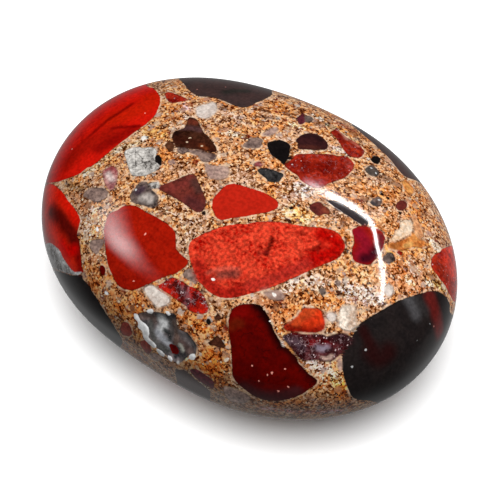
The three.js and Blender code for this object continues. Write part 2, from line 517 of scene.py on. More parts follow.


# Pebbles set in the sand. Where two meet, a place goes to the one whose edge is further out from it.
# The pale MILK patch at 384 288, where the thin curved reflection ends, is a painted highlight glow.
PEBBLES = pebbles("""
    CAP_RED: 147 86, 153 88, 157 92, 160 97, 160 103, 158 109, 155 115, 146 124, 119 144, 95 164, 87 168,
    79 174, 63 180, 55 182, 41 181, 39 160, 52 141, 57 120, 80 104, 98 84, 122 80, 143 76;
    BRICK_RED: 165 94, 169 92, 178 95, 188 100, 178 102, 174 103, 169 102, 166 98;
    UMBER: 184 84, 190 91, 199 96, 216 98, 242 107.5, 258 102, 269 97, 272 94, 272 90, 276 82, 262 73,
    247 64, 228 69, 211 60, 194 66, 178 74;
    MILK: 197 107, 207 104, 212 102, 216 104, 217 109, 214 114, 208 118, 202 118, 197 116;
    BROWN: 188 118, 192.5 117.5, 197 120, 202 129, 205 134, 209 137, 216 147, 217 152, 212 152, 197 149.5,
    182 148, 176.5 147.5, 174 143, 172 137, 174 132, 179 130, 184 128, 187 123;
    GREY: 177 148, 184 148, 192 150, 200 150, 208 152.5, 215 154, 216 158, 211 161, 204 162, 200 160,
    198 156, 193 154, 188 152, 183 154, 178 152;
    BROWN: 165 146, 167 142.5, 171 142, 174 144, 173.5 149, 170 151.5;
    SPECKLED: 125 151, 136 147, 143 148, 149 147, 154 148, 157 151, 156 156, 158 161, 160 166, 157 170,
    147 175, 141 176, 134 176, 130 172, 126 159;
    PINK: 103 171, 107 168, 112 166, 116 168, 118 174, 115 187, 111 190, 107 188, 103 177;
    GREY: 83 196, 86 191, 91 188, 97 188, 103 188, 107 190, 108 194, 106 198, 96 202, 87 198;
    DARK_GREY: 130 197, 132 192, 135 188, 138 184, 142 182, 147 182, 150 187, 158 196, 158 201, 157 206,
    151 208, 145 206, 134 203;
    SPECKLED: 149 184, 153 182, 159 182.5, 158.5 187, 156 189, 152 188;
    MAROON: 158 188, 168 183, 185 176, 190 174, 194.5 175.5, 197 179, 205 197, 206 203, 204 209, 201 212,
    196 212, 190 208, 178 200;
    LILAC: 205 164, 211 165, 218 166, 225 166, 229 168, 229 173, 226 178, 220 180, 213 179, 208 176;
    OVAL_RED: 213 199, 216.5 194.5, 225 186, 231 184, 238 184.5, 262 192, 275 199, 278 203, 277.5 207.5,
    274 210, 268 212, 242 217, 232 218, 223 220, 217 218, 214 213, 212 208;
    DUSK_RED: 124 206, 136 206, 146 212, 158 218, 174 230, 176 243, 176.5 249.5, 184 257, 188 261,
    186 266, 175 274, 167 276, 137 289, 130 290, 123 288, 117.5 284.5, 110 270, 106 254, 104 230, 106 222,
    108 215, 112 212, 118 210;
    FLAME_RED: 189 245, 197 237, 218 228, 237 224, 247 224, 257 222, 279 222, 302 226, 324 228, 338 233,
    345 244, 344 250, 341 255, 335 260, 318 267, 280 284, 260 291, 231 298, 214 295, 201 284, 196 277,
    190 260;
    GREY: 183 275, 190 268, 193 272, 196 277, 196 284;
    MILK: 144 289, 152 285, 162 292, 167 295, 170 302, 161 307, 156 306, 152 302;
    RED_DRUSE: 157 286, 161 284, 171.5 277.5, 183 282, 189 286, 195 288, 204 296, 206.5 301.5, 208 308,
    207 312.5, 202 314, 190 311, 183 304, 162 290;
    MAROON: 121 326, 124 322, 129 324, 132 332, 130 336, 126 336, 122 334, 120 329;
    MAROON: 140 343, 144 340, 147 341, 151.5 349.5, 149 354, 145.5 352.5, 142.5 348;
    DEEP_RED: 229 318, 229 333, 231 349, 232 365, 234 379, 248 392, 261 399, 276 401, 284 400, 298 396,
    311 388, 316 384, 317 380, 307 372, 298 362, 295 356, 281 342, 274 330, 269.5 318.5, 262.5 307.5,
    257.5 304.5, 244 304, 234 308;
    UMBER: 175.5 369.5, 180 370, 186 371, 189.5 374.5, 206 388, 210 392, 209 401, 200 405, 190 400,
    182 393, 177 381;
    PLUM: 190 370, 195 369, 201 372, 212 380, 214 385, 212 388, 200.5 381.5, 194 376;
    GREY: 223.5 387.5, 240 391, 250 397, 248 401, 242 403, 229 400;
    BLACK: 350 342, 343 354, 342 367, 345 380, 351 395, 356 399, 361 400, 376 402, 382 409, 402 400,
    425 382, 442 363, 453 341, 458 323, 450 312, 450 305, 448 300, 444 295, 439 292, 433 291, 426 292,
    403 299, 396 302, 372 316, 358 326;
    BRICK_RED: 431 263, 432 258, 435 254, 440 252, 444 248, 458 246, 466 262, 467 282, 462 300, 455 302,
    451 297, 444 284, 439.5 278.5, 432 268;
    DUSK_RED: 352 230, 355 228, 361 226, 375 228, 381 231, 384 235, 385 241, 381 252, 375 260, 371 264,
    366 265, 356 262, 353 259, 352 254, 352 248, 354 242;
    UMBER: 327.5 200.5, 338 202, 359 214, 368 220, 368.5 223.5, 365 226, 360 224, 354 220, 333 206;
    BLACK: 267 145, 269 142, 274 141, 280 140, 286 142, 290 145, 290 150, 289 155, 284 165, 280 161,
    271.5 154.5;
    WINE: 296 140, 304 134, 316 134, 325 140, 328 145, 326 149, 322 150, 303 149.5, 298 148, 298 144;
    BRICK_RED: 285.5 166.5, 292 159, 294 156, 298 154, 305 154, 313 154, 329 154, 337 156, 345 156,
    350.5 159.5, 354 164, 353 169, 349 174, 344 178, 333 182, 328 184, 325 186, 318 188, 310 186, 300 180,
    298 176;
    BRICK_RED: 331 131, 334 130, 337 128, 340 132, 348 138, 358 144, 362 148, 364.5 151.5, 362 156,
    358 158, 351.5 156.5, 346 153, 336 138, 332 134;
    BLUE_BLACK: 258 170, 261 168, 267 168.5, 273 170, 279 172, 283.5 174.5, 282 178, 278 182, 272 182,
    268 181, 264 177, 260 174;
    MAROON: 309 208, 312 204, 317 202, 321.5 202.5, 323 206, 327 207, 330 211, 328.5 214.5, 324 214,
    320 216, 315 214;
    BLACK: 371 160, 374 156, 380.5 158.5, 378 164, 374 163;
    DARK_GREY: 365 169, 372 165, 379 172, 377 176, 372 176, 368 174;
    OCHRE: 402 182, 405.5 179.5, 412 186, 414 190, 413 194, 408.5 193.5, 405 190, 403 186;
    GREY: 370 202, 377 196.5, 381 198, 382 202, 379 206, 374 206;
    MAROON: 396 205, 398 202, 402 200, 406 202, 407 206, 404 209.5, 399.5 210.5, 396 208;
    CREAM: 391 239, 399 229, 400 224, 403 220, 408 220, 412 222, 412 232, 404 238, 398 240, 394 241;
    PEACH: 412 214, 416 217, 419 222, 422 229, 424 236, 420 239, 415 236, 413 222;
    OCHRE: 388 246, 391 242, 397 242, 408.5 236.5, 413.5 232.5, 421 240, 424 240, 426 245, 421 248,
    415 247, 403 250, 391 249;
    UMBER: 352 124, 358 130, 385 154, 397 168, 403 175, 409.5 178.5, 415 180, 421 182, 432 176, 426 159,
    409 149, 398 131, 380 127, 362 117;
    PLUM: 297 118, 300 116, 303 113, 305.5 121.5, 299.5 124.5;
    DARK_GREY: 304.5 118, 307 115.5, 311 116.5, 313 119, 311 122, 307 122.5;
    GREY: 243 146, 249 140, 254 137.5, 259 138, 262 140, 262 144, 259 148, 248 148;
    DARK_GREY: 383 258, 386 254, 389 252, 393 254, 394.5 258, 393 262, 389 263, 385 262;
    BRICK_RED: 397 251, 400 250.5, 402.5 253, 401 255.5, 398 254;
    DUSK_RED: 56 186, 64 194, 67 199, 75 209, 78 214, 80 219, 79.5 224, 77 234, 79 240, 80 246, 82 267,
    83 272, 70 273.5, 55 268, 44 262, 38 245, 35 225, 36 205, 42 189, 49 184;
    BLACK: 57 271, 70 275, 76 275, 82 275, 83 279, 90 288, 114 326, 121 338, 122 344, 113 352, 102 346,
    71 314, 58 294, 48 274;
    GREY: 90 243, 93 240, 103.5 239.5, 103 245, 100 250, 97 254, 93.5 252.5, 90 248;
    DEEP_RED: 99.5 267, 103 265.5, 105.5 270, 104 275, 101.5 274.5;
    EMBER: 283.5 325.5, 292 320, 297 316, 300 312, 304 308, 310 308, 316 308, 321 310, 323 316, 325 322,
    324 329, 320 332, 312 333, 296 332, 289 331.5, 285 330;
    DRUSE: 282.5 337.5, 287 334, 294 332, 303 334, 320 334, 327 336, 335 334, 343 333, 350 336, 352 341,
    348 347, 332 361, 318 360, 305 361, 299.5 358.5, 291.5 348.5;
    MILK: 326 315, 330 312, 334 312, 336.5 315.5, 336 320, 332 322, 327.5 319.5;
    PALE: 340 309, 345 306, 351 305.5, 356 308, 356 319, 356 325, 352 331, 346 330, 340 328, 339 322,
    340 315;
    DARK_GREY: 319 290, 322 288, 325 289, 326 293, 323 295.5, 320 294;
    GREY: 335.5 283, 337.5 279.5, 340 282, 340 286, 338 287;
    BROWN: 335.5 289.5, 339 290.5, 342 294, 340 296, 337 294;
    LILAC: 264 292, 276 290, 281 292, 285 296, 281 300, 274 300, 268 298;
    BLACK: 206 321, 208.5 318.5, 211 322, 210 325, 207 324;
    BROWN: 214 318, 217.5 313.5, 220.5 316, 220 319.5, 216 320;
    BROWN: 208 342, 213 340, 216 336, 220 338, 225 346, 221 348, 215 346, 210 345;
    GREY: 150 354, 155 353, 160 356, 161 360, 156 360.5, 151 358;
    MILK: 384 288, 388 284, 392 286, 393.5 291, 391 296, 386 295;
    LILAC: 262 135, 266 131, 276 127, 278 130, 274 134, 269 136;
    PINK: 254 165, 256 162, 260 162, 262.5 165, 259 167;
    BROWN: 285.5 217.5, 289 218.5, 292 222, 288.5 223.5;
    BLACK: 287.5 158.5, 290 156, 292.5 156.5, 290.5 159.5
""")

# The pocket of grey quartz, which lies a little deeper than the polish.
POCKET = pebbles("""
    SMOKY: 138 314, 155 312, 166 314, 171 313, 175 315, 178 328, 183 331, 188 334, 196 345, 196 351,
    195 355, 190 355, 183 361, 178 363, 173 361, 164 354, 156 347, 152 341, 148 337, 148 331, 145.5 326
""")[0]

# Small pieces that sit in or over the pebbles: slivers of white quartz, veins and dark grains.
INLAYS = pebbles("""
    WHITE: 134 314, 137 314, 140 320, 144.5 323.5, 148 328, 149 333, 148.5 337.5, 152 341, 156 346,
    154 348, 145.5 340.5, 143 336, 142 331, 138 327, 138 322, 134.5 318.5;
    WHITE: 156.5 348.5, 164.5 354, 163 356.5, 158 353;
    WHITE: 167 356, 170 357, 172.5 360, 170.5 361.5;
    WHITE: 146.5 310.5, 150 309, 154 310, 152 313.5, 148 313.5;
    WHITE: 165 312, 168 311, 170.5 314, 168 316;
    WHITE: 188.5 356.5, 190.5 354.5, 194 354, 196 357, 194 359.5, 190 359.5;
    CREAM: 185 360, 187 357.5, 188 359, 186.5 361;
    MILK: 176.5 362.5, 178.5 361.5, 179.5 363.5, 178 364.5;
    BLACK: 155 157, 158 154.5, 161 157, 162 161, 161 166, 156 162;
    DEEP_RED: 167 346, 172 346, 176 350, 177 355, 171 355;
    SPECKLED: 50 243, 60 251, 62 256, 70 268, 75 272, 82 272, 78 275, 70 274, 56 269, 46 262, 42 248;
    WHITE: 141 138, 143.5 135.5, 146 136, 146 139.5, 142 140;
    BLACK: 147 136, 149 136, 149 138.5, 147 139;
    CREAM: 180 127, 183 124.5, 185 125, 182 128;
    WHITE: 271.5 293, 274.5 292.5, 276.5 295, 275 297.5, 272.5 295.5;
    WHITE: 104.5 293, 106 290, 108 293, 108 295.5, 106 295;
    WHITE: 95.5 229, 97.5 226.5, 99 230, 98 231.5, 96 231;
    CREAM: 246 156, 248 154.5, 249 157, 247.5 159.5;
    CREAM: 217.5 152, 220 150.5, 221 154, 220.5 158.5, 218 158;
    MILK: 281 341.5, 283 341.5, 283.5 344, 285 346, 283 346.5;
    WHITE: 269 320.5, 271 320, 271.5 322, 269.5 322.5;
    CREAM: 223.5 360.5, 226 358, 229 357.5, 229 360, 226 362;
    LILAC: 338 358, 340 357, 342 362, 341 372, 337 366;
    LILAC: 320 357, 323 356, 326 358, 330 354, 333 354, 334 356, 330 360, 324 360;
    WHITE: 210.5 278.5, 214 278, 215.5 280, 213 281
""")


@dataclass(frozen=True)
class Stroke:
    """A soft mark of colour, brushed along a path in the photograph's pixels.

    Attributes:
        path: The brush's path.
        width: The distance from the path, in millimetres, at which the mark has all but gone.
        color: The colour as seen.
        strength: How fully the colour covers, from 0 to 1.
    """

    path: str
    width: float
    color: Color
    strength: float = 0.8


def strokes(text: str) -> tuple[Stroke, ...]:
    """Reads strokes, one on each line: the width, the strength and the colour, a colon, and the path."""
    made = []
    for line in text.strip().splitlines():
        numbers, path = line.split(":")
        width, strength, *color = (float(number) for number in numbers.split())
        made.append(Stroke(path, width, tuple(color), strength))
    return tuple(made)


@dataclass(frozen=True)
class Specks:
    """Small round grains of one kind.

    Attributes:
        places: Their middles in the photograph's pixels.
        radius: Their radius in millimetres.
        color: Their colour as seen.
    """

    places: str
    radius: float
    color: Color


# Grains that the photograph shows one by one.
SPECKS = (
    Specks("72 149, 145 113, 145 234, 134 281, 252 366, 267 375, 272 373, 259 381, 278 391, 288 387, 285 369",
           0.13, (224, 146, 132)),
    Specks("366 350, 352 367", 0.16, (176, 176, 176)),
    Specks("417 340, 430 324", 0.12, (110, 110, 110)),
    Specks("190 138, 202 146, 187 142, 264 309, 272 323", 0.16, (216, 190, 160)),
    Specks("371 168, 376 173, 379 200, 136 190", 0.17, (214, 214, 214)),
    Specks("382 194, 388 198, 400 213, 291 208, 204 213, 101 208", 0.28, (34, 20, 16)),
)

# Streaks, clouds and shaded edges inside the pebbles. Later ones lie over earlier ones.
# The two pale grey marks on the black pebble, from 408 298 to 426 311, are a painted sheen, a reflection.
# The dark mark from 149 322 to 166 352, just inside the quartz pocket's left rim, is painted shade in the
# hollow.
PEBBLE_STROKES = strokes("""
    3.0 0.85 200 30 6: 114 119, 130 113, 147 105, 152 98
    1.6 0.7 190 34 20: 104 101, 120 91, 142 84
    1.6 0.85 204 22 10: 62 174, 76 168, 90 161
    0.6 0.75 112 2 2: 70 160, 74 151, 84 141, 94 132, 108 120, 119 113, 132 104
    2.8 0.85 160 18 7: 68 162, 82 148, 98 139, 112 132
    1.8 0.85 140 9 5: 100 148, 116 139, 132 130
    0.5 0.7 110 2 3: 112 128, 126 127, 140 126
    2.2 0.95 74 8 5: 52 212, 60 218, 66 226, 72 233, 75 241, 77 248
    1.1 0.85 208 20 6: 59 194, 66 204, 72 213, 76 221
    1.4 0.85 182 3 2: 62 244, 67 252, 74 250
    1.0 0.8 92 0 2: 78 259, 80 266, 80 271
    0.5 0.95 84 4 0: 272.5 238, 270.5 244, 268.5 250, 266 254
    0.5 0.7 128 26 22: 259 255, 263 252, 268 253
    0.7 0.8 122 0 0: 312 251, 320 247, 322 245
    0.4 0.8 132 8 2: 296 233, 303 234
    0.6 0.6 150 18 14: 318 238, 322 242
    2.0 0.95 186 2 0: 322 234, 333 240, 336 248, 326 255, 312 261
    1.6 0.95 176 32 22: 198 264, 203 276, 212 287, 225 294, 240 292
    1.4 0.85 186 46 36: 250 285, 268 281, 288 272, 306 264
    1.1 0.8 122 62 52: 220 275, 228 274, 236 274
    0.5 0.6 222 98 78: 208 273, 215 270, 228 268, 238 269
    1.5 0.97 20 4 4: 257 304, 264 310, 270 320, 276 333, 283 344
    1.0 0.85 36 6 5: 285 346, 297 359, 308 372, 317 380
    1.2 0.6 124 8 6: 235 314, 243 312
    1.0 0.6 108 30 10: 232 327, 236 322, 240 324
    1.5 0.85 50 20 22: 245 388, 262 395, 280 396, 296 392
    1.2 0.6 46 4 4: 363 330, 369 342
    1.7 0.85 98 27 24: 430 297, 434 308, 438 321, 440 332
    1.5 0.7 88 86 88: 408 298, 413 306, 416 314
    1.3 0.55 54 50 50: 418 301, 426 311
    2.2 0.7 42 7 7: 372 352, 380 358, 388 352
    1.2 0.8 44 44 40: 226 92, 236 91, 246 91
    0.8 0.9 118 52 36: 190 121, 195 123
    0.8 0.85 88 58 58: 184 128, 192 128, 200 130
    0.9 0.9 28 14 14: 177 134, 178 141
    1.4 0.85 64 26 16: 178 139, 190 142, 203 147, 214 151
    0.5 0.7 142 66 30: 201 145, 206 149
    0.8 0.65 134 54 48: 170 189, 182 185, 190 181
    1.1 0.8 78 52 46: 194 181, 199 190
    0.8 0.8 94 34 44: 381 236, 381 245
    1.8 0.85 146 20 42: 359 234, 366 245, 361 256
    1.2 0.95 60 10 24: 364 259, 371 257, 376 250
    2.0 0.8 156 44 24: 437 262, 446 275, 452 290
    1.4 0.8 90 42 42: 189 200, 197 205, 202 209
    1.4 0.75 116 8 4: 306 168, 318 166, 330 165
    1.0 0.7 194 64 50: 348 162, 350 170
    0.9 0.8 180 70 76: 306 181, 314 183, 322 182
    0.9 0.7 78 54 72: 138 192, 142 189
    1.0 0.9 206 194 186: 143 198, 148 197, 150 200
    1.0 0.8 112 92 86: 142 315, 148 316, 152 320
    1.0 0.95 206 210 214: 160 319, 163 325, 159 330
    0.9 0.9 150 152 158: 156 334, 161 340, 167 346
    0.7 0.9 52 52 50: 149 322, 151 334, 156 344, 166 352
    0.6 0.95 30 34 34: 163 331, 167 335, 168 340
    0.7 0.9 66 62 60: 168 320, 170 326, 171 334
    0.7 0.85 112 88 78: 174 322, 176 332, 174 344
    0.8 0.8 150 138 138: 180 333, 184 338, 188 343
    1.0 0.9 88 70 66: 180 344, 186 350, 190 352
    0.4 0.8 196 180 168: 178 346, 180 349, 181 352
    1.2 0.8 226 84 38: 296 322, 304 314, 312 311
    1.0 0.7 232 60 20: 306 326, 316 322, 320 314
    1.0 0.7 92 74 84: 288 340, 296 342, 302 348
    0.8 0.9 124 12 16: 310 343, 320 342, 330 344
    0.7 0.8 156 142 158: 317 347, 322 349, 327 347
    1.3 0.8 46 26 28: 334 337, 342 338, 349 340
    0.8 0.85 50 10 10: 176 284, 180 292, 182 300
    0.7 0.5 120 104 110: 183 288, 188 297, 186 305
    0.8 0.8 156 56 48: 105 163, 110 162, 114 166
    0.8 0.7 200 60 30: 345 142, 352 148, 360 152
    0.6 0.75 206 150 128: 340 131, 344 135, 347 139
    0.5 0.6 206 128 104: 352 142, 358 146
    0.7 0.7 110 18 12: 335 130, 340 136, 345 144
    0.8 0.85 228 208 202: 108 174, 112 180
    0.6 0.75 136 72 78: 111 183, 113 187
    0.6 0.75 150 84 40: 393 247, 398 246
    0.6 0.8 246 190 112: 405 246, 411 244
    0.5 0.7 160 92 42: 416 243, 420 245
    0.9 0.7 116 70 46: 168 144, 171 149
    0.9 0.85 248 176 98: 404 183, 408 186, 410 191
    1.2 0.75 74 68 62: 367 171, 377 173
    0.7 0.8 70 70 74: 372 202, 375 205
    0.6 0.7 146 74 50: 325 210, 329 212
    0.7 0.7 78 34 32: 312 208, 317 212
    1.3 0.7 166 134 122: 266 294, 280 297
    0.8 0.7 82 40 32: 300 147, 310 147, 318 148
    0.7 0.7 42 24 26: 305 136, 314 136, 321 140
    1.2 0.8 52 46 48: 330 202, 345 210, 362 221
    0.4 0.8 226 128 92: 288 322, 293 316, 298 311
    0.8 0.7 120 8 5: 292 330, 306 331, 320 330
""")

# The sand's own colour over the stone: each mark pulls it towards the colour seen there.
# The pale mark from 345 290 to 380 298 is partly pale quartz grains and partly a painted highlight, where the
# thin curved reflection breaks into sparkles.
SAND_STROKES = strokes("""
    1.0 0.85 222 146 78: 274 330, 280 330
    3.5 0.8 190 142 106: 150 205, 175 220, 190 232
    2.6 0.9 187 147 118: 90 215, 92 235
    3.6 0.85 200 146 108: 240 118, 262 122
    2.8 0.9 158 100 62: 95 262, 100 285
    3.2 0.9 154 94 54: 120 300, 140 305
    2.4 0.9 134 86 54: 105 318, 125 345, 150 362, 170 370
    4.0 0.9 164 96 50: 200 330, 215 350, 210 370
    1.4 0.85 118 76 50: 240 403, 290 404, 350 402
    0.7 0.7 138 84 82: 262 408, 300 412, 340 411
    1.8 0.8 222 156 116: 322 368, 330 372, 328 380
    0.9 0.8 168 148 122: 140 142, 125 147, 108 157, 95 167, 85 174
    1.8 0.8 202 134 66: 150 132, 161 134
    3.0 0.9 192 108 54: 270 305, 285 318
    2.6 0.9 206 146 100: 350 268, 362 276
    1.9 0.95 230 180 122: 292 213, 303 216
    4.0 0.8 196 134 92: 405 212, 430 225, 440 250
    1.4 0.8 168 104 52: 336 362, 342 385, 346 396
    1.8 0.85 206 184 176: 345 290, 365 295, 380 298
    1.8 0.8 206 170 148: 286 285, 300 282, 318 284
    1.0 0.8 214 128 70: 178 275, 187 281, 196 287
    1.1 0.8 126 100 74: 66 184, 73 187, 80 189
    1.5 0.8 150 98 66: 72 197, 80 203, 86 209
    1.1 0.8 118 72 46: 175 316, 180 323, 183 330
    0.7 0.85 242 216 184: 230 133, 235 135, 241 136
    0.7 0.85 242 216 184: 292 124, 298 126, 304 128
    0.6 0.9 246 238 230: 313 115, 317 117, 321 119
    0.9 0.8 132 132 110: 325 124, 330 126, 335 128
    1.1 0.8 150 76 48: 337 123, 345 126, 352 130
    0.8 0.8 104 66 48: 352 133, 355 137, 358 140
    0.8 0.85 234 208 184: 343 134, 347 137, 350 139
    0.8 0.8 228 188 170: 300 151, 312 151, 325 152
    0.9 0.8 224 198 192: 326 147, 336 149, 346 153
    0.5 0.85 84 48 34: 255 117, 264 117, 272 118
    0.7 0.85 84 52 42: 222 109, 226 109
    0.7 0.85 84 52 42: 262 110, 266 111
    0.7 0.85 84 52 42: 285 112, 289 114, 292 117
    2.1 0.9 202 178 172: 286 190, 296 190, 305 191
    2.0 0.85 198 132 88: 396 264, 402 267, 408 266
    1.3 0.85 220 194 190: 413 267, 416 271
    1.6 0.8 212 130 62: 384 247, 400 249, 416 246, 428 246
    0.9 0.8 198 156 84: 435 283, 439 285, 443 288
    0.6 0.8 96 58 38: 426 272, 430 276, 435 281
    0.9 0.85 238 208 174: 431 241, 435 245, 440 250
    2.4 0.85 188 118 76: 396 280, 408 284, 424 288
    1.1 0.85 110 70 46: 384 177, 392 182, 400 186
    0.7 0.8 238 208 174: 427 281, 431 285
    0.7 0.8 238 208 174: 407 279, 412 284
    0.9 0.85 224 192 182: 306 359, 312 363, 318 366
    0.8 0.8 240 214 180: 331 375, 335 378, 338 382
    0.9 0.8 222 148 80: 335 381, 340 385, 345 388
    0.9 0.8 118 74 48: 339 390, 343 393, 347 397
    0.9 0.8 132 82 58: 311 120, 317 123, 322 126
    0.7 0.8 200 150 150: 184 104, 186 107, 188 109
    0.6 0.8 232 196 186: 186 117, 191 118
    0.5 0.8 190 160 140: 189 374, 198 380, 207 386
""")


@dataclass(frozen=True)
class StoneShape:
    """The rule of the stone's surface, in millimetres: a superellipse turned into an oval, on a flat spot.

    Attributes:
        resting_cut: How much of the full oval is missing under the resting spot.
        plan_exponent: The plan's superellipse.
        profile_exponent: The side view's superellipse.
        lobes: Waves round the plan, each with its cosine and sine share of the radius.
        across: Points along each side of the top grid.
        down: Points from the top grid's edge to the bottom grid's edge.
        waist: Degrees above the middle at which the side ends and the top grid starts.
        ripple: How far hand grinding leaves the surface from the rule.
        ripple_size: The size of that unevenness.
    """

    resting_cut: float = 0.35
    plan_exponent: float = 2.04
    profile_exponent: float = 2.2
    lobes: tuple[tuple[int, float, float], ...] = (
        (3, -0.0034, -0.0041),
        (4, -0.0087, -0.0064),
        (5, 0.0026, 0.0035),
    )
    across: int = 180
    down: int = 45
    waist: float = 26.0
    ripple: float = 0.05
    ripple_size: float = 11.0

    def tree(self, material: bpy.types.Material) -> bpy.types.NodeTree:
        """Builds the Geometry Nodes tree that grows the surface from a box.

        Args:
            material: The finish that the tree sets.

        Returns:
            The tree.
        """
        tree = bpy.data.node_groups.new("palm_stone_surface", "GeometryNodeTree")
        graph = Graph(tree)
        names = ("Half Length", "Half Width", "Half Oval", "Ripple")
        for name in names:
            tree.interface.new_socket(name, in_out="INPUT", socket_type="NodeSocketFloat")
        tree.interface.new_socket("Geometry", in_out="OUTPUT", socket_type="NodeSocketGeometry")
        given = graph.node("NodeGroupInput")
        half_length, half_width, half_oval, ripple = (given[name] for name in names)
        counts = {"Vertices X": self.across, "Vertices Y": self.across, "Vertices Z": self.down}
        box = graph.node("GeometryNodeMeshCube", {"Size": (2.0, 2.0, 2.0), **counts})
        x, y, z = graph.channels(graph.node("GeometryNodeInputPosition")["Position"])
        level_x = x * (1.0 - y * y * 0.5).function("SQRT")
        level_y = y * (1.0 - x * x * 0.5).function("SQRT")
        level = (level_x * level_x + level_y * level_y).function("SQRT")
        turn = graph.node("Math", {0: level_y, 1: level_x}, operation="ARCTAN2")["Value"]
        cosine, sine = turn.function("COSINE"), turn.function("SINE")
        share = level * (z * math.radians(self.waist)).function("COSINE") ** (2.0 / self.profile_exponent)
        rise = (1.0 - share**self.profile_exponent).function("ABSOLUTE") ** (1.0 / self.profile_exponent)
        along = (cosine.function("ABSOLUTE") / half_length) ** self.plan_exponent
        athwart = (sine.function("ABSOLUTE") / half_width) ** self.plan_exponent
        waves: Term | float = 1.0
        for count, cosine_share, sine_share in self.lobes:
            around = turn * float(count)
            waves = waves + around.function("COSINE") * cosine_share + around.function("SINE") * sine_share
        reach = (along + athwart) ** (-1.0 / self.plan_exponent) * waves * share
        sides = {"X": reach * cosine, "Y": reach * sine, "Z": rise * half_oval * z.function("SIGN")}
        place = graph.node("CombineXYZ", sides)["Vector"]
        moved = {"Geometry": box["Mesh"], "Position": place}
        grown = graph.node("GeometryNodeSetPosition", moved)["Geometry"]
        here = graph.node("GeometryNodeInputPosition")["Position"]
        uneven = (graph.clouds(here, self.ripple_size * MM, 1.0) - 0.5) * ripple
        push = graph.node("GeometryNodeInputNormal")["Normal"] * uneven
        ground = graph.node("GeometryNodeSetPosition", {"Geometry": grown, "Offset": push})["Geometry"]
        whole = graph.node("GeometryNodeRealizeInstances", {"Geometry": ground})["Geometry"]
        dressed = graph.node("GeometryNodeSetMaterial", {"Geometry": whole, "Material": material})["Geometry"]
        graph.node("NodeGroupOutput", {"Geometry": dressed})
        return tree

    def grow(self, low: Vector, high: Vector, material: bpy.types.Material) -> bpy.types.Mesh:
        """Makes the plain mesh of the surface, fitted to the solid's box.

        Args:
            low: The box's lowest corner, in metres.
            high: The box's highest corner, in metres.
            material: The finish.

        Returns:
            The mesh, in metres.
        """
        size = high - low
        tree = self.tree(material)
        seed = placed("surface_seed", bpy.data.meshes.new("surface_seed"))
        modifier = seed.modifiers.new("surface", "NODES")
        modifier.node_group = tree
        sizes = {
            "Half Length": size.x / 2,
            "Half Width": size.y / 2,
            "Half Oval": (size.z + self.resting_cut * MM) / 2,
            "Ripple": self.ripple * 2 * MM,
        }
        for item in tree.interface.items_tree:
            if item.in_out == "INPUT":
                modifier[item.identifier] = sizes[item.name]
        seed.update_tag()
        mesh = bpy.data.meshes.new_from_object(seed.evaluated_get(bpy.context.evaluated_depsgraph_get()))
        bpy.data.objects.remove(seed)
        places = read_rows(mesh.vertices, "co")
        least, most = places.min(axis=0), places.max(axis=0)
        middle = (least + most) / 2
        places[:, :2] = (places[:, :2] - middle[:2]) / (most - least)[:2] * np.array(size[:2])
        places[:, :2] += np.array((low + high)[:2]) / 2
        places[:, 2] = np.maximum(places[:, 2] - most[2] + high.z, low.z)
        mesh.vertices.foreach_set("co", places.ravel())
        mesh.update()
        self.unfold(mesh, places - np.array((0.0, 0.0, high.z - sizes["Half Oval"])))
        return mesh

    def unfold(self, mesh: bpy.types.Mesh, places: np.ndarray) -> None:
        """Lays the surface out flat for baking: the top as one disc, and the underside as another below it.

        Args:
            mesh: The stone's mesh.
            places: Its vertices, measured from the middle of the stone at its widest level.
        """
        loops = np.empty(len(mesh.loops), dtype=np.int32)
        mesh.loops.foreach_get("vertex_index", loops)
        corners = places[loops]
        half_width, half_height, steepness, face_corners = 0.49, 0.24, 1.5, 4
        level = np.hypot(corners[:, 0], corners[:, 1])
        turns = np.arctan2(corners[:, 1], corners[:, 0])
        depth = np.arctan2(steepness * level, np.abs(corners[:, 2])) * 2.0 / math.pi
        on_top = np.repeat(corners[:, 2].reshape(-1, face_corners).mean(axis=1) > 0.0, face_corners)
        across = 0.5 + half_width * depth * np.cos(turns)
        upward = half_height * depth * np.sin(turns)
        flat = np.stack([across, np.where(on_top, 0.75 + upward, 0.25 - upward)], axis=1)
        mesh.uv_layers.new(name="OFBake").data.foreach_set("uv", flat.astype(np.float32).ravel())


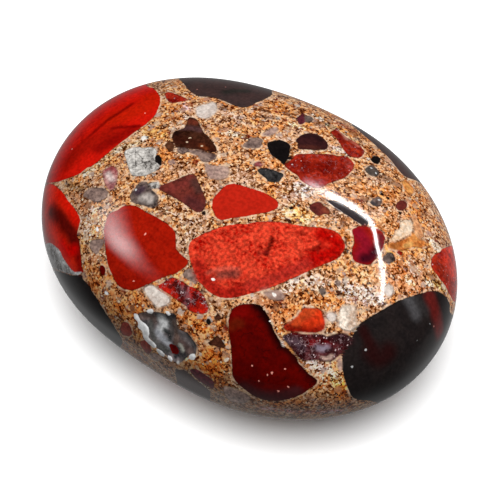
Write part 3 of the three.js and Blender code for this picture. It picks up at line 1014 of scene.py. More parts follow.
class Surface:
    """The stone's surface as seen from the photograph's camera, in millimetres.

    The picture is unfolded: a place on the hidden side counts as that far past the stone's edge in the picture,
    so an outline that runs past the edge goes on over the hidden side.
    """

    # The longest step along an outline and the least distance from the stone's edge, both in pixels.
    STEP = 1.2
    RIM_INSET = 0.4
    # How far from an outline distances are measured, in millimetres.
    REACH = 1.4
    # In how many directions the stone's edge in the picture is measured.
    TURNS = 360

    def __init__(self, mesh: bpy.types.Mesh, studio: "Studio") -> None:
        """Reads the mesh.

        Args:
            mesh: The stone, in metres.
            studio: The studio with the photograph's camera.
        """
        camera = studio.camera
        self.camera = camera
        self.places = read_rows(mesh.vertices, "co") / MM
        self.normals = read_rows(mesh.vertex_normals, "vector")
        self.light = studio.light_at(self.normals)
        faces = [tuple(face.vertices) for face in mesh.polygons]
        self.tree = BVHTree.FromPolygons([tuple(place) for place in self.places], faces)
        self.heart = np.array([0.0, 0.0, self.places[:, 2].max() / 2])
        self.middle = camera.picture(self.heart[None])[0]
        facing = np.einsum("ij,ij->i", self.normals, np.array(camera.place) - self.places)
        seen = camera.picture(self.places) - self.middle
        turns = np.arctan2(seen[:, 1], seen[:, 0])
        distance = np.hypot(seen[:, 0], seen[:, 1])
        bins = np.linspace(-math.pi, math.pi, self.TURNS + 1)
        self.edge_turns = (bins[1:] + bins[:-1]) / 2
        self.edge = np.zeros(self.TURNS)
        np.maximum.at(self.edge, np.clip(np.digitize(turns, bins) - 1, 0, self.TURNS - 1), distance)
        rim = self.edge_at(turns)
        unfolded = np.where(facing > 0, np.minimum(distance, rim), 2 * rim - distance)
        self.flat = self.middle + seen * (unfolded / np.maximum(distance, 1e-6))[:, None]
        self.depth_share = unfolded / rim

    def edge_at(self, turn: np.ndarray) -> np.ndarray:
        """Gives the stone's radius in the picture at a turn about its middle."""
        return np.interp(turn, self.edge_turns, self.edge, period=2 * math.pi)

    def onto(self, pixels: np.ndarray) -> np.ndarray:
        """Carries places in the unfolded picture on to the stone.

        Args:
            pixels: One row for each place.

        Returns:
            The places on the surface, in millimetres.
        """
        out = []
        eye = self.camera.place
        beyond = 600.0
        for offset in pixels - self.middle:
            distance = float(np.hypot(*offset))
            rim = float(self.edge_at(np.array([math.atan2(offset[1], offset[0])]))[0])
            hidden = distance > rim
            within = min(2 * rim - distance if hidden else distance, rim - self.RIM_INSET)
            ray = self.camera.ray(self.middle + offset / max(distance, 1e-6) * within)
            cast = (eye + ray * beyond, -ray) if hidden else (eye, ray)
            found = self.tree.ray_cast(*cast)[0]
            if found is None:
                found = self.tree.find_nearest(eye + ray * self.camera.distance)[0]
            out.append(tuple(found))
        return np.array(out)

    def traced(self, text: str, closed: bool) -> tuple[np.ndarray, np.ndarray]:
        """Draws a smooth line through picked points.

        Args:
            text: The points.
            closed: Whether the line comes back to its start.

        Returns:
            The line in the unfolded picture, and on the stone.
        """
        picked = points_of(text)
        first, last = (picked[-1:], picked[:2]) if closed else (picked[:1], picked[-1:])
        padded = np.concatenate([first, picked, last])
        pieces = []
        for before, start, end, after in zip(padded, padded[1:], padded[2:], padded[3:]):
            steps = max(2, int(math.ceil(float(np.hypot(*(end - start))) / self.STEP)))
            share = (np.arange(steps) / steps)[:, None]
            pieces.append(
                start
                + share * (end - before) * 0.5
                + share**2 * (before - 2.5 * start + 2 * end - 0.5 * after)
                + share**3 * (1.5 * start - 0.5 * before - 1.5 * end + 0.5 * after)
            )
        if not closed:
            pieces.append(picked[-1:])
        line = np.concatenate(pieces)
        return line, self.onto(line)

    def distance_to(self, line: np.ndarray, closed: bool, reach: float) -> tuple[np.ndarray, np.ndarray]:
        """Measures how far the vertices near a line on the stone are from it.

        Args:
            line: The line's points on the stone.
            closed: Whether its ends are joined.
            reach: How far from the line's box vertices are still measured.

        Returns:
            The numbers of the vertices near the line, and their distances in millimetres.
        """
        low, high = line.min(axis=0) - reach, line.max(axis=0) + reach
        near = np.flatnonzero(np.all((self.places > low) & (self.places < high), axis=1))
        spots = self.places[near]
        least = np.full(len(near), 1e9)
        ends = np.roll(line, -1, axis=0) if closed else line[1:]
        for start, end in zip(line, ends):
            along = end - start
            share = np.clip((spots - start) @ along / max(float(along @ along), 1e-12), 0.0, 1.0)
            away = spots - start - share[:, None] * along
            least = np.minimum(least, np.einsum("ij,ij->i", away, away))
        return near, np.sqrt(least)

    def within(self, line: np.ndarray, near: np.ndarray) -> np.ndarray:
        """Tells which vertices lie inside a closed line of the unfolded picture.

        Args:
            line: The closed line's points.
            near: The numbers of the vertices to test.

        Returns:
            True for each vertex that is inside.
        """
        x, y = self.flat[near, 0], self.flat[near, 1]
        inside = np.zeros(len(near), dtype=bool)
        for (x0, y0), (x1, y1) in zip(line, np.roll(line, -1, axis=0)):
            if y0 != y1:
                inside ^= ((y0 > y) != (y1 > y)) & (x < (x1 - x0) * (y - y0) / (y1 - y0) + x0)
        return inside

    def signed(self, outline: str) -> tuple[np.ndarray, np.ndarray]:
        """Measures how far vertices lie from an outline.

        Args:
            outline: The outline's points.

        Returns:
            The numbers of the vertices near it, and their distances in millimetres, more than 0 inside.
        """
        flat, line = self.traced(outline, closed=True)
        near, distance = self.distance_to(line, True, self.REACH)
        return near, np.where(self.within(flat, near), distance, -distance)

    def light_on(self, chosen: np.ndarray) -> float:
        """Gives the mean light on some vertices, but never less than the least."""
        return max(float(self.light[chosen].mean()), LEAST_LIGHT) if len(chosen) else LIGHT_ON_TOP

    def light_at(self, spots: np.ndarray) -> float:
        """Gives the mean light on places of the surface, but never less than the least."""
        nearest = [np.linalg.norm(self.places - spot, axis=1).argmin() for spot in spots]
        return self.light_on(np.array(nearest))

    def brushed(self, stroke: Stroke) -> tuple[np.ndarray, np.ndarray, np.ndarray]:
        """Works out how strongly a stroke covers each vertex near it.

        Args:
            stroke: The soft mark.

        Returns:
            The numbers of the vertices near it, its cover on each, and its pigment.
        """
        _, line = self.traced(stroke.path, closed=False)
        near, distance = self.distance_to(line, False, stroke.width)
        full_width, well_covered = 0.15 * stroke.width, 0.3 * stroke.strength
        cover = (1.0 - smooth(distance, full_width, stroke.width)) * stroke.strength
        light = self.light_on(near[cover > well_covered])
        return near, cover[:, None], pigment(stroke.color, light)


class Layer:
    """One layer of pebbles as numbers on the vertices, which the finish reads.

    Each vertex holds its distance to the nearest pebble's edge, more than 0 inside, and that pebble's look. A
    look reaches past its pebble's edge, so the finish cuts it off cleanly where the distance is 0.
    """

    def __init__(self, surface: Surface, name: str) -> None:
        """Starts an empty layer.

        Args:
            surface: The stone's surface.
            name: The layer's name, which starts the names of its attributes.
        """
        count = len(surface.places)
        self.surface = surface
        self.name = name
        self.edge = np.full(count, -surface.REACH)
        self.blur = np.full(count, Look.blur)
        self.base, self.second, self.marks = np.zeros((3, count, 3))

    def lay(self, near: np.ndarray, signed: np.ndarray, look: Look, light: float = LIGHT_ON_TOP) -> None:
        """Lays a pebble where it is nearer than what is there.

        Args:
            near: The numbers of the vertices that it reaches.
            signed: Their distances to its edge, more than 0 inside.
            look: How it looks.
            light: The light in which it looks so.
        """
        wins = signed > self.edge[near]
        chosen = near[wins]
        self.edge[chosen] = signed[wins]
        self.base[chosen] = pigment(look.base, light)
        self.second[chosen] = pigment(look.second, light)
        self.marks[chosen] = (look.fine, look.broad, look.crystal)
        self.blur[chosen] = look.blur

    def trace(self, pebble: Pebble) -> None:
        """Lays a pebble that the photograph shows."""
        near, signed = self.surface.signed(pebble.outline)
        self.lay(near, signed, pebble.rock.value, self.surface.light_on(near[signed > 0.0]))

    def brush(self, stroke: Stroke) -> None:
        """Brushes a soft mark over the pebbles of the layer."""
        near, cover, color = self.surface.brushed(stroke)
        self.base[near] = self.base[near] * (1 - cover) + color * cover
        self.second[near] = self.second[near] * (1 - cover) + color * 0.75 * cover

    def write(self, mesh: bpy.types.Mesh) -> None:
        """Writes the layer's attributes on to the mesh."""
        for part in ("edge", "blur", "base", "second", "marks"):
            write_values(mesh, f"{self.name}_{part}", getattr(self, part))


@dataclass(frozen=True)
class BuriedBatch:
    """Pebbles of about one size for the side that the photograph doesn't show.

    Attributes:
        tries: How many places are tried.
        smallest: The least radius in millimetres.
        largest: The greatest radius in millimetres.
        rocks: The names of the rocks that they are made of, each as often as it is named.
    """

    tries: int
    smallest: float
    largest: float
    rocks: str


# Large pebbles come first, so that small ones fill the gaps between them.
BURIED = (
    BuriedBatch(60, 5.5, 8.5, "CAP_RED DEEP_RED BLACK FLAME_RED DUSK_RED"),
    BuriedBatch(220, 2.6, 4.6, "DUSK_RED OVAL_RED MAROON BRICK_RED UMBER BLACK DEEP_RED FLAME_RED"),
    BuriedBatch(500, 1.2, 2.4,
                "MAROON BRICK_RED GREY MILK LILAC SPECKLED BLACK BROWN OCHRE DARK_GREY RED_DRUSE"),
    BuriedBatch(900, 0.5, 1.1, "BROWN CREAM LILAC PLUM BLACK GREY PEACH DEEP_RED MILK WHITE"),
)


class BuriedPebbles:
    """Chance pebbles for the hidden side: angular stones in the rock, which the surface cuts through."""

    FACES = 9
    # The least distance between pebbles, in millimetres.
    GAP = 0.35
    # How far past the stone's edge in the picture they start, as a share of the way from its middle.
    VISIBLE_LIMIT = 1.01
    # How flat a stone may be, how near its faces may come to its middle, and how sharp its corners are.
    FLATTEST = 0.55
    NEAREST_FACE = 0.72
    SHARPNESS = 5.0
    # How much further out than its reach vertices are still measured, in the square of the distance.
    MARGIN = 1.7

    def __init__(self, layer: Layer) -> None:
        """Starts on a layer, with a fixed seed."""
        self.layer = layer
        self.surface = layer.surface
        self.chance = np.random.default_rng(SEED)

    def stone(self, middle: np.ndarray, radius: float) -> tuple[np.ndarray, np.ndarray]:
        """Cuts one angular stone out of the rock.

        Args:
            middle: Its middle, in millimetres.
            radius: Its radius, in millimetres.

        Returns:
            The numbers of the vertices that it reaches, and their distances to its edge, more than 0 inside.
        """
        stretch = self.chance.uniform(self.FLATTEST, 1.0, 3)
        turns = np.linalg.qr(self.chance.normal(size=(3, 3)))[0]
        faces = unit(self.chance.normal(size=(self.FACES, 3)))
        depths = radius * self.chance.uniform(self.NEAREST_FACE, 1.0, self.FACES)
        reach = radius + self.surface.REACH
        away = self.surface.places - middle
        near = np.flatnonzero(np.einsum("ij,ij->i", away, away) < reach * reach * self.MARGIN)
        local = away[near] @ turns / stretch
        sharp = self.SHARPNESS / radius
        round_past = (np.linalg.norm(local, axis=1) - radius)[:, None]
        past = np.concatenate([local @ faces.T - depths, round_past], axis=1)
        outside = np.log(np.exp(np.clip(past * sharp, -60, 60)).sum(axis=1)) / sharp
        return near, -outside * float(stretch.mean())

    def scatter(self, batches: tuple[BuriedBatch, ...]) -> int:
        """Lays the pebbles of every batch that fit between those already there.

        Args:
            batches: The batches, largest first.

        Returns:
            How many were laid.
        """
        laid = 0
        hidden = np.flatnonzero(self.surface.depth_share > self.VISIBLE_LIMIT)
        for batch in batches:
            rocks = [Rock[name] for name in batch.rocks.split()]
            for _ in range(batch.tries):
                spot = self.surface.places[self.chance.choice(hidden)]
                radius = float(self.chance.uniform(batch.smallest, batch.largest))
                inward = self.surface.heart - spot
                depth = radius * float(self.chance.uniform(0.0, 0.5))
                near, signed = self.stone(spot + inward / np.linalg.norm(inward) * depth, radius)
                rock = rocks[int(self.chance.integers(len(rocks)))]
                covered = near[signed > -self.GAP]
                if not len(covered) or self.layer.edge[covered].max() > -self.GAP:
                    continue
                if self.surface.depth_share[covered].min() < self.VISIBLE_LIMIT:
                    continue
                self.layer.lay(near, signed, rock.value)
                laid += 1
        return laid


@dataclass(frozen=True)
class Sand:
    """The sandy cement between the pebbles. Sizes are in millimetres and colours are as seen.

    Attributes:
        color: Its mean colour.
        lightest: The colour that no grain of it is lighter than.
        pore_color: The colour in its pores.
        glint_color: The colour of its white quartz grains.
        coarse: The size of the coarser sand grains.
        grain: The size of the finer sand grains.
        crumbs: Two sizes of fragments big enough to have a shape.
        pores: The dark pores.
        glints: The white quartz grains.
    """

    color: Color = (194, 136, 94)
    lightest: Color = (255, 244, 228)
    pore_color: Color = (42, 15, 6)
    glint_color: Color = (255, 232, 198)
    coarse: float = 0.52
    grain: float = 0.25
    crumbs: tuple[Scatter, ...] = (
        Scatter(1.3, (0.66, 0.68), (0.42, 0.34), 0.7, (1.3, 4.0, 1.0)),
        Scatter(0.715, (0.66, 0.68), (0.42, 0.34), 0.7, (0.715, 4.0, 1.0)),
    )
    pores: Scatter = Scatter(0.6, (0.38, 0.42), (0.3, 0.16), 0.5, (3.1, 1.7, 4.3))
    glints: Scatter = Scatter(0.7, (0.52, 0.54), (0.25, 0.16), 0.4, (7.9, 5.2, 2.6))

    # The grains' brightness as shares of the sand's own colour, from the darkest grain to the lightest.
    SHADES = (
        (0.04, (0.14, 0.05, 0.01)),
        (0.20, (0.50, 0.31, 0.13)),
        (0.40, (0.93, 0.83, 0.66)),
        (0.60, (1.26, 1.29, 1.30)),
        (0.80, (1.64, 1.84, 2.04)),
        (0.97, (2.05, 2.60, 3.20)),
    )
    # The grains' tints as shares, from rusty sand to grey and pink quartz.
    TINTS = (
        (0.05, (1.10, 0.72, 0.34)),
        (0.38, (1.05, 0.93, 0.76)),
        (0.66, (0.97, 1.04, 1.10)),
        (0.95, (0.86, 1.00, 1.32)),
    )
    # The fragments' colours as seen.
    CRUMBS = (
        (0.0, (88, 40, 24)),
        (0.14, (150, 92, 60)),
        (0.28, (206, 160, 130)),
        (0.42, (246, 214, 178)),
        (0.56, (182, 156, 152)),
        (0.70, (222, 136, 66)),
        (0.82, (236, 222, 208)),
        (0.93, (128, 34, 24)),
    )


@dataclass(frozen=True)
class PolishedConglomerate:
    """The stone's finish: polished pebbles in sand, read from the layers on the mesh.

    Attributes:
        sand: The cement.
        wobble: How far a pebble's edge wanders, in millimetres.
        bend: How far cells are bent so that they look like grains, in millimetres.
        bend_size: The size of those bends.
        cement_color: The pale cement that rims some pebbles.
        dim_crystal: The painted shade on crystal faces turned from the light.
        bright_crystal: The painted glint on crystal faces turned to it.
        crystal_joint: The colour of the joints between crystals.
        dots: The small pale grains in every pebble.
        dot_color: Their colour.
        ior: The index of refraction of polished jasper.
        sand_roughness: How rough the ground sand is.
        polish: How much smoother the pebbles are.
        pore_roughness: How much rougher the pores are.
        crystal_roughness: How much rougher the crystals are.
        relief: How deep the grain of the sand is, in millimetres.
    """

    sand: Sand = field(default_factory=Sand)
    wobble: float = 0.26
    bend: float = 0.45
    bend_size: float = 1 / 2.2
    cement_color: Color = (244, 210, 178)
    dim_crystal: Color = (42, 8, 10)
    bright_crystal: Color = (226, 196, 196)
    crystal_joint: Color = (196, 160, 164)
    dots: Scatter = Scatter(2.4, (0.72, 0.74), (0.07, 0.03))
    dot_color: Color = (226, 150, 140)
    ior: float = 1.54
    sand_roughness: float = 0.08
    polish: float = 0.03
    pore_roughness: float = 0.3
    crystal_roughness: float = 0.2
    relief: float = 0.02

    def build(self, material: bpy.types.Material, surface: Surface) -> None:
        """Builds the material's tree.

        Args:
            material: The new material.
            surface: The stone's surface, on which the specks lie.
        """
        graph = Graph.of(material)
        place = graph.node("TexCoord")["Object"] * (1.0 / MM)
        noise = {"Vector": place, "Scale": 1.0 / self.bend_size, "Detail": 2.0}
        bent = place + (graph.node("TexNoise", noise)["Color"] - (0.5, 0.5, 0.5)) * self.bend
        sand, hollow = self.sand_color(graph, place, bent)
        pebble_edge = self.edge(graph, place, "pebble")
        pebble = self.cover(graph, pebble_edge, "pebble")
        inlay = self.cover(graph, self.edge(graph, place, "inlay"), "inlay")
        pebble_color, facets = self.rock_color(graph, place, bent, "pebble")
        inlay_color, _ = self.rock_color(graph, place, bent, "inlay")
        patches = graph.clouds(place, 1.1, 3.0)
        seam = graph.rise(pebble_edge, -0.2, 0.02) * graph.rise(pebble_edge, 0.16, 0.02)
        cement = graph.rise(pebble_edge, -0.42, -0.08) * graph.rise(patches, 0.46, 0.6)
        sand = graph.mix(cement * graph.clouds(place, 0.2) * 1.4, sand, pigment(self.cement_color))
        color = graph.mix(pebble, sand, pebble_color)
        color = color * (1.0 - seam * graph.rise(patches, 0.62, 0.42) * 0.5)
        color = graph.mix(inlay, color, inlay_color)
        for specks in SPECKS:
            spots = surface.onto(points_of(specks.places))
            speck_color = pigment(specks.color, surface.light_at(spots))
            color = graph.mix(self.speckle(graph, bent, spots, specks.radius), color, speck_color)
        polished = graph.clamp(pebble + inlay)
        hollow = hollow * (1.0 - polished)
        roughness = self.sand_roughness - polished * self.polish
        roughness = roughness + hollow * self.pore_roughness + facets * self.crystal_roughness
        grit = graph.clouds(place, 0.3, 2.0)
        height = (1.0 - polished) * (grit * 0.5 - hollow) + facets * graph.cells(bent, 0.5)["Distance"] * 1.5
        relief = {"Strength": 0.35, "Distance": self.relief * MM, "Height": height}
        bump = graph.node("Bump", relief)["Normal"]
        finish = {"Base Color": color, "Roughness": roughness, "IOR": self.ior, "Normal": bump}
        graph.node("OutputMaterial", {"Surface": graph.node("BsdfPrincipled", finish)["BSDF"]})

    def speckle(self, graph: Graph, place: Term, spots: np.ndarray, radius: float) -> Term:
        """Tells where small round grains lie.

        Args:
            graph: The material's tree.
            place: The place in millimetres.
            spots: The grains' middles, one row for each.
            radius: Their radius in millimetres.

        Returns:
            1 inside the grains and 0 outside.
        """
        nearest: Term | float = 1e3
        for spot in spots:
            away = graph.node("VectorMath", {0: place, 1: tuple(spot)}, operation="DISTANCE")["Value"]
            nearest = graph.node("Math", {0: nearest, 1: away}, operation="MINIMUM")["Value"]
        return graph.rise(nearest, radius * 1.3, radius * 0.7)

    def edge(self, graph: Graph, place: Term, layer: str) -> Term:
        """Reads a layer's distance to the edge in millimetres, with the edge wandering a little."""
        return graph.read(layer + "_edge", "Fac") + (graph.clouds(place, 0.5, 5.0) - 0.5) * self.wobble

    def cover(self, graph: Graph, edge: Term, layer: str) -> Term:
        """Gives 1 inside a layer's pebbles and 0 outside, from the layer's distance to the edge."""
        blur = graph.read(layer + "_blur", "Fac")
        return graph.rise(edge, blur * -1.0, blur)

    def sand_color(self, graph: Graph, place: Term, bent: Term) -> tuple[Term, Term]:
        """Colours the sand, grain by grain.

        Args:
            graph: The material's tree.
            place: The place in millimetres.
            bent: The place, bent so that cells look like grains.

        Returns:
            The colour, and 1 in the pores.
        """
        coarse_shade, coarse_tint, _ = graph.channels(graph.cells(bent, self.sand.coarse)["Color"])
        shade, tint, _ = graph.channels(graph.cells(bent + (2.3, 8.1, 5.4), self.sand.grain)["Color"])
        drift = graph.clouds(place, 1.8, 3.0)
        zone = graph.clouds(place + (9.0, 4.0, 2.0), 3.4, 3.0)
        tone = coarse_shade * 0.65 + shade * 1.15 + (drift - 0.5) * 0.9 - 0.4
        warmth = coarse_tint * 0.5 + tint * 0.4 + (zone - 0.5) * 2.2 + 0.05
        sand = graph.read("sand_color") * graph.ramp(tone, self.sand.SHADES, 4.0)
        sand = sand * graph.ramp(warmth, self.sand.TINTS, 1.5)
        lightest = pigment(self.sand.lightest)
        sand = graph.node("VectorMath", {0: sand, 1: lightest}, operation="MINIMUM")["Vector"]
        ragged = graph.clouds(place, 0.25, 2.0) - 0.5
        crumb_stops = [(stop, pigment(color)) for stop, color in self.sand.CRUMBS]
        for scatter in self.sand.crumbs:
            crumbs, crumb = graph.scatter(bent, scatter, ragged)
            _, hue, depth = graph.channels(crumbs["Color"])
            crumb_color = graph.ramp(hue, crumb_stops) * (0.9 + ragged)
            sand = graph.mix(crumb * (0.5 + depth * 0.4), sand, crumb_color)
        _, pore = graph.scatter(bent, self.sand.pores, ragged)
        sand = graph.mix(pore * 0.88, sand, pigment(self.sand.pore_color))
        _, glint = graph.scatter(bent, self.sand.glints, ragged)
        return graph.mix(glint * 0.9, sand, pigment(self.sand.glint_color)), pore

    def rock_color(self, graph: Graph, place: Term, bent: Term, layer: str) -> tuple[Term, Term]:
        """Colours the pebbles of a layer.

        Args:
            graph: The material's tree.
            place: The place in millimetres.
            bent: The place, bent so that cells look like grains.
            layer: The layer's name.

        Returns:
            The colour, and how much the rock breaks into crystal faces here.
        """
        fine, broad, crystal = graph.channels(graph.read(layer + "_marks"))
        faces = graph.cells(bent, 0.28)
        light, _, _ = graph.channels(faces["Color"])
        speckle = graph.patches(place, 0.5, 7.0, 0.34, 0.66) * 0.5 + light * 0.5
        cloud = graph.patches(bent, 2.4, 5.0, 0.38, 0.64)
        vein = graph.rise(graph.ridges(bent, 1.5), 0.07, 0.0) * graph.patches(place, 1.3, 2.0, 0.5, 0.62)
        patch = graph.patches(place, 0.8, 5.0, 0.4, 0.62)
        share = fine * speckle * (0.6 + cloud * 0.5) + broad * (cloud * 0.65 + patch * 0.35 + vein)
        grit = 1.0 + (graph.patches(place, 0.45, 4.0, 0.32, 0.68) - 0.5) * (fine * 0.55 + 0.22)
        base, second = graph.read(layer + "_base"), graph.read(layer + "_second")
        color = graph.mix(graph.clamp(share), base, second) * grit
        broken = graph.rise(crystal, 0.02, 0.3)
        # Painted light on crystal faces: the dim patches are painted shade, and the bright cells are painted
        # glints.
        dim = graph.patches(place, 0.9, 3.0, 0.5, 0.6) * broken
        druse = graph.patches(place, 1.2, 2.0, 0.42, 0.58) * graph.rise(crystal, 0.0, 0.05)
        shining = graph.rise(light + crystal * 0.4, 0.98, 1.04)
        bright = shining * graph.rise(faces["Distance"], 0.45, 0.3) * druse
        ridges = graph.rise(graph.ridges(bent, 0.55), 0.07, 0.02) * graph.patches(place, 0.8, 2.0, 0.48, 0.6)
        color = graph.mix(dim * 0.8, color, pigment(self.dim_crystal))
        color = graph.mix(ridges * broken * 0.4, color, pigment(self.crystal_joint))
        color = graph.mix(bright * 0.95, color, pigment(self.bright_crystal))
        _, dot = graph.scatter(place, self.dots)
        return graph.mix(dot * 0.5, color, pigment(self.dot_color)), crystal


@dataclass(frozen=True)
class Ribbon:
    """A long bright band in the dark above the stone, which only the polish shows.

    Attributes:
        name: Its name.
        path: Its places, with semicolons between them: degrees to the right of the camera's line, degrees above
            the horizon, degrees from its middle line to its edge, and how bright its middle line is there;
            white paper in full light is 1.
        softness: How bell-shaped it is across, from 0 to 1.
    """

    name: str
    path: str
    softness: float


# The thin curved reflection at the photograph's right, and the broad pale sheen at its left.
RIBBONS = (
    Ribbon("strip_lamp", "17 47.2 1.1 0; 20 47.1 1.3 12; 25 47.1 1.4 36; 30 46.1 1.3 44; 36 44.5 1.2 44;"
           "41 43.6 1.1 44; 47 45.8 0.8 44; 53 48.6 0.7 44; 62 50.4 0.75 44; 76 51.0 1.0 40; 86 51.0 1.5 26;"
           "94 51.0 1.5 0", 0.4),
    Ribbon("window", "-54 38.5 9 0.3; -62 41.5 10 3.2; -70 43.0 10 5.5; -78 44.0 10 7.2; -84 45.2 10 8.5;"
           "-89 45.7 10 7.3; -94 46.0 9 4.6; -99 46.3 8 1.7; -104 46.8 8 0.3; -110 47.0 8 0", 1.0),
)


@dataclass(frozen=True)
class Studio:
    """A white table under one soft lamp in a dark room. Lengths are in metres.

    What the polish shows is lit apart from what the eye sees: a dimmer table, and the long bright bands.

    Attributes:
        camera: The photograph's camera, from which the lamps' directions are told.
        table_radius: The table's radius.
        sheet_height: The height of the white sheet round it.
        lamp_turn: The soft lamp's place, in degrees to the right of the camera's line.
        lamp_rise: Its height, in degrees above the horizon.
        lamp_distance: How far it is from the stone.
        lamp_size: Its width.
        room_light: How bright white paper looks in the room's light alone.
        sky_size: The width of the broad lamp that lights the table alone.
        sky_rise: Its height, in degrees above the horizon behind the stone.
        sky_distance: How far it is from the stone.
        sky_light: How bright it makes white paper on the table.
        mirrored_light: How bright the table looks in the polish, beside the stone.
        mirrored_reach: The distances over which that falls to about a third, away from the shaded side and
            towards it.
        shaded_turn: Where the shaded side is, in degrees to the right of the camera's line.
        band_distance: How far away the bright bands are.
    """

    camera: PhotoCamera
    table_radius: float = 0.9
    sheet_height: float = 0.5
    lamp_turn: float = 75.0
    lamp_rise: float = 72.0
    lamp_distance: float = 0.7
    lamp_size: float = 0.4
    room_light: float = 0.15
    sky_size: float = 0.62
    sky_rise: float = 97.0
    sky_distance: float = 0.6
    sky_light: float = 1.65
    mirrored_light: float = 0.42
    mirrored_reach: tuple[float, float] = (0.055, 0.012)
    shaded_turn: float = 190.0
    band_distance: float = 3.0

    @property
    def lamp_light(self) -> float:
        """How bright white paper looks that faces the lamp alone."""
        return (LIGHT_ON_TOP - self.room_light) / math.sin(math.radians(self.lamp_rise))

    def light_at(self, facing: np.ndarray) -> np.ndarray:
        """Gives how bright white paper looks that faces each direction, one row for each."""
        towards = np.array(self.camera.towards(self.lamp_turn, self.lamp_rise))
        return self.room_light + self.lamp_light * np.clip(facing @ towards, 0.0, None)

    def sheet(
        self, name: str, rows: np.ndarray, closed: bool, material: bpy.types.Material
    ) -> bpy.types.Object:
        """Makes a thin sheet, which isn't part of the object.

        Args:
            name: Its name.
            rows: Its points in metres, as rows of equally many.
            closed: Whether each row comes back to its start.
            material: Its material.

        Returns:
            The sheet.
        """
        count, steps = rows.shape[:2]
        faces = []
        for row in range(count - 1):
            for step in range(steps if closed else steps - 1):
                after = (step + 1) % steps
                low, high = row * steps, (row + 1) * steps
                faces.append((low + step, high + step, high + after, low + after))
        mesh = bpy.data.meshes.new(name)
        mesh.from_pydata([tuple(place) for place in rows.reshape(-1, 3)], [], faces)
        mesh.materials.append(material)
        made = placed(name, mesh)
        made.visible_glossy = False
        made.visible_diffuse = False
        return made

    def rings(self, profile: Sequence[tuple[float, float]]) -> np.ndarray:
        """Turns a profile, each point a radius and a height in metres, about the stone's middle into rows."""
        turns = np.linspace(0.0, math.tau, 96, endpoint=False)
        circle = np.stack([np.cos(turns), np.sin(turns), np.ones_like(turns)], axis=1)
        return np.array([circle * (radius, radius, height) for radius, height in profile])

    def white(self, name: str, glow: float) -> bpy.types.Material:
        """Makes plain matt white.

        Args:
            name: The material's name.
            glow: How bright it is of itself; at 1 no light or shadow shows on it.

        Returns:
            The material.
        """
        material = bpy.data.materials.new(name)
        material.use_nodes = True
        inputs = material.node_tree.nodes["Principled BSDF"].inputs
        paper = 0.92 * (1.0 - glow)
        inputs["Base Color"].default_value = (paper, paper, paper, 1.0)
        inputs["Roughness"].default_value = 1.0
        inputs["Specular IOR Level"].default_value = 0.0
        inputs["Emission Color"].default_value = (1.0, 1.0, 1.0, 1.0)
        inputs["Emission Strength"].default_value = glow * 1.05
        material.cycles.emission_sampling = "NONE"
        return material

    def bright(self, name: str, rows: np.ndarray, closed: bool, light: np.ndarray) -> None:
        """Makes a bright sheet that only the polish shows.

        Args:
            name: Its name.
            rows: Its points in metres, as rows of equally many.
            closed: Whether each row comes back to its start.
            light: How bright it is at each point; white paper in full light is 1.
        """
        material = bpy.data.materials.new(name)
        graph = Graph.of(material)
        glow = graph.node("Emission", {"Color": graph.read("glow")})["Emission"]
        graph.node("OutputMaterial", {"Surface": glow})
        material.cycles.emission_sampling = "NONE"
        made = self.sheet(name, rows, closed, material)
        write_values(made.data, "glow", np.repeat(light.reshape(-1, 1), 3, axis=1))
        made.visible_camera = False
        made.visible_shadow = False
        made.visible_transmission = False
        made.visible_glossy = True

    def ribbon(self, ribbon: Ribbon) -> None:
        """Hangs one bright band over the stone."""
        path = np.array([entry.split() for entry in ribbon.path.split(";")], dtype=float)
        steps, across = 96, 15
        known = np.arange(len(path))
        even = np.linspace(0, known[-1], steps)
        turns, rises, widths, light = (np.interp(even, known, row) for row in path.T)
        spots = np.array([self.camera.towards(turn, rise) for turn, rise in zip(turns, rises)])
        side = unit(np.cross(spots, np.gradient(spots, axis=0)))
        offsets = np.linspace(-1.0, 1.0, across)
        spread = np.tan(np.radians(widths))[:, None] * offsets
        rows = self.band_distance * (spots[:, None] + side[:, None] * spread[..., None])
        flat = (np.abs(offsets) < 1.0).astype(float)
        profile = flat * (1 - ribbon.softness) + np.cos(offsets * math.pi / 2) ** 2 * ribbon.softness
        self.bright(ribbon.name, rows, False, light[:, None] * profile)

    def lamp(self, name: str, place: Vector, size: float, paper: float, lit: bpy.types.Object) -> None:
        """Hangs a soft round lamp that faces the stone and lights one object.

        Args:
            name: Its name.
            place: Its middle, in metres.
            size: Its width.
            paper: How bright white paper looks that faces it.
            lit: What it lights.
        """
        reach = place.length_squared + size * size / 4
        data = bpy.data.lights.new(name, "AREA")
        data.shape = "DISK"
        data.size = size
        data.energy = paper * math.pi**2 * reach
        lamp = placed(name, data)
        lamp.matrix_world = Matrix.Translation(place) @ place.to_track_quat("Z", "Y").to_matrix().to_4x4()
        lamp.visible_glossy = False
        lights = bpy.data.collections.new(name + "_lights")
        lights.objects.link(lit)
        lamp.light_linking.receiver_collection = lights

    def mirrored(self, places: np.ndarray) -> np.ndarray:
        """Gives how bright the table looks in the polish, with painted shadow near the stone and on the shaded
        side.

        Args:
            places: Places on the table, in metres.

        Returns:
            The brightness at each place.
        """
        away = np.linalg.norm(places[..., :2], axis=-1)
        shaded = places @ np.array(self.camera.towards(self.shaded_turn, 0.0)) / away
        long, short = self.mirrored_reach
        reach = long + (short - long) * smooth(shaded, 0.1, 0.6)
        low, high = (np.array(corner[:2]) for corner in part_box("palm_stone"))
        outside = away * (1.0 - 1.0 / np.linalg.norm(places[..., :2] / ((high - low) / 2), axis=-1))
        # Painted shadow in the glow: darker close to the stone as a contact shadow, and falling off sooner on
        # the shaded side.
        contact_width, beside, darkest = 0.008, 0.033, 0.02
        contact_shadow = 0.5 + 0.5 * smooth(outside, 0.0, contact_width)
        behind = 1.0 - 0.4 * smooth(-shaded, 0.5, 1.0)
        fall = np.exp(-np.clip(away - beside, 0.0, None) / reach)
        return darkest + self.mirrored_light * behind * contact_shadow * fall

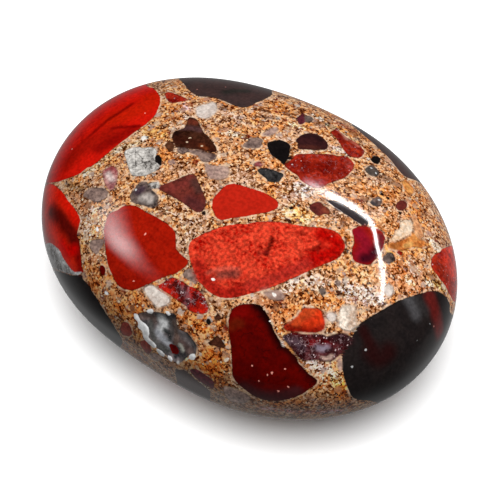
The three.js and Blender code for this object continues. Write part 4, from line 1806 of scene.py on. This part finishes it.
    def build(self, stone: bpy.types.Object) -> None:
        """Sets up the whole studio.

        Args:
            stone: The stone, which the soft lamp lights.
        """
        radius, height = self.table_radius, self.sheet_height
        top = self.rings([(0.001, 0.0), (radius, 0.0)])
        table = self.sheet("studio_table", top, True, self.white("table_white", 0.0))
        backdrop = self.rings([(radius, -0.001), (radius * 1.1, 0.12 * height), (radius * 1.14, height)])
        self.sheet("studio_sheet", backdrop, True, self.white("sheet_white", 1.0)).visible_shadow = False
        rings = self.rings([(ring, 0.0) for ring in (0.001, *np.geomspace(0.02, radius, 60))])
        self.bright("mirrored_table", rings, True, self.mirrored(rings))
        for ribbon in RIBBONS:
            self.ribbon(ribbon)
        key = self.camera.towards(self.lamp_turn, self.lamp_rise) * self.lamp_distance
        self.lamp("soft_lamp", key, self.lamp_size, self.lamp_light, stone)
        sky = self.camera.towards(0.0, self.sky_rise) * self.sky_distance
        self.lamp("table_lamp", sky, self.sky_size, self.sky_light, table)
        scene = bpy.context.scene
        scene.world = bpy.data.worlds.new("dim_room")
        scene.world.use_nodes = True
        room = scene.world.node_tree.nodes["Background"].inputs["Color"]
        room.default_value = (*[self.room_light] * 3, 1.0)
        scene.world.cycles_visibility.glossy = False
        scene.view_settings.view_transform = "Standard"
        scene.view_settings.look = "None"


@dataclass(frozen=True)
class PalmStone:
    """The palm stone, ready to be looked at.

    Attributes:
        shape: The surface's rule.
        finish: The polished finish.
        pocket_depth: How deep the quartz pocket is, in millimetres.
        pocket_rim: How wide its sloping rim is, in millimetres.
    """

    shape: StoneShape = field(default_factory=StoneShape)
    finish: PolishedConglomerate = field(default_factory=PolishedConglomerate)
    pocket_depth: float = 0.5
    pocket_rim: float = 0.9

    def hollow(self, mesh: bpy.types.Mesh, surface: Surface) -> None:
        """Sinks the quartz pocket into the surface.

        Args:
            mesh: The stone's mesh.
            surface: Its surface, as read before.
        """
        near, signed = surface.signed(POCKET.outline)
        sunk = smooth(signed, -0.1, self.pocket_rim) * self.pocket_depth * MM
        places = read_rows(mesh.vertices, "co")
        places[near] -= surface.normals[near] * sunk[:, None]
        mesh.vertices.foreach_set("co", places.ravel())
        mesh.update()

    def build(self, studio: Studio) -> bpy.types.Object:
        """Makes the stone and puts it in the solid's place.

        Args:
            studio: The studio, whose light the pigments allow for.

        Returns:
            The stone.
        """
        material = bpy.data.materials.new("polished_conglomerate")
        low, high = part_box("palm_stone")
        mesh = self.shape.grow(Vector(low), Vector(high), material)
        mesh.polygons.foreach_set("use_smooth", np.ones(len(mesh.polygons), dtype=bool))
        surface = Surface(mesh, studio)
        pebbles = Layer(surface, "pebble")
        for pebble in (*PEBBLES, POCKET):
            pebbles.trace(pebble)
        count = BuriedPebbles(pebbles).scatter(BURIED)
        LOG.info("pebbles: %d seen, %d on the hidden side", len(PEBBLES) + 1, count)
        for stroke in PEBBLE_STROKES:
            pebbles.brush(stroke)
        inlays = Layer(surface, "inlay")
        for inlay in INLAYS:
            inlays.trace(inlay)
        sand = np.tile(pigment(self.finish.sand.color), (len(surface.places), 1))
        for stroke in SAND_STROKES:
            near, cover, color = surface.brushed(stroke)
            sand[near] = sand[near] * (1 - cover) + color * cover
        pebbles.write(mesh)
        inlays.write(mesh)
        write_values(mesh, "sand_color", sand)
        self.hollow(mesh, surface)
        self.finish.build(material, surface)
        stone = placed("polished_palm_stone", mesh)
        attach(stone, "root")
        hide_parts("palm_stone")
        return stone


def main() -> None:
    """Builds the stone, the camera and the studio."""
    logging.basicConfig(level=logging.INFO, format="%(name)s: %(message)s")
    camera = PhotoCamera()
    camera.build()
    LOG.info("camera: %.0f mm lens, %.0f mm from the stone", camera.lens, camera.distance)
    studio = Studio(camera)
    stone = PalmStone().build(studio)
    LOG.info("%s: %d vertices, %d faces", stone.name, len(stone.data.vertices), len(stone.data.polygons))
    studio.build(stone)


if __name__ == "__main__":
    main()
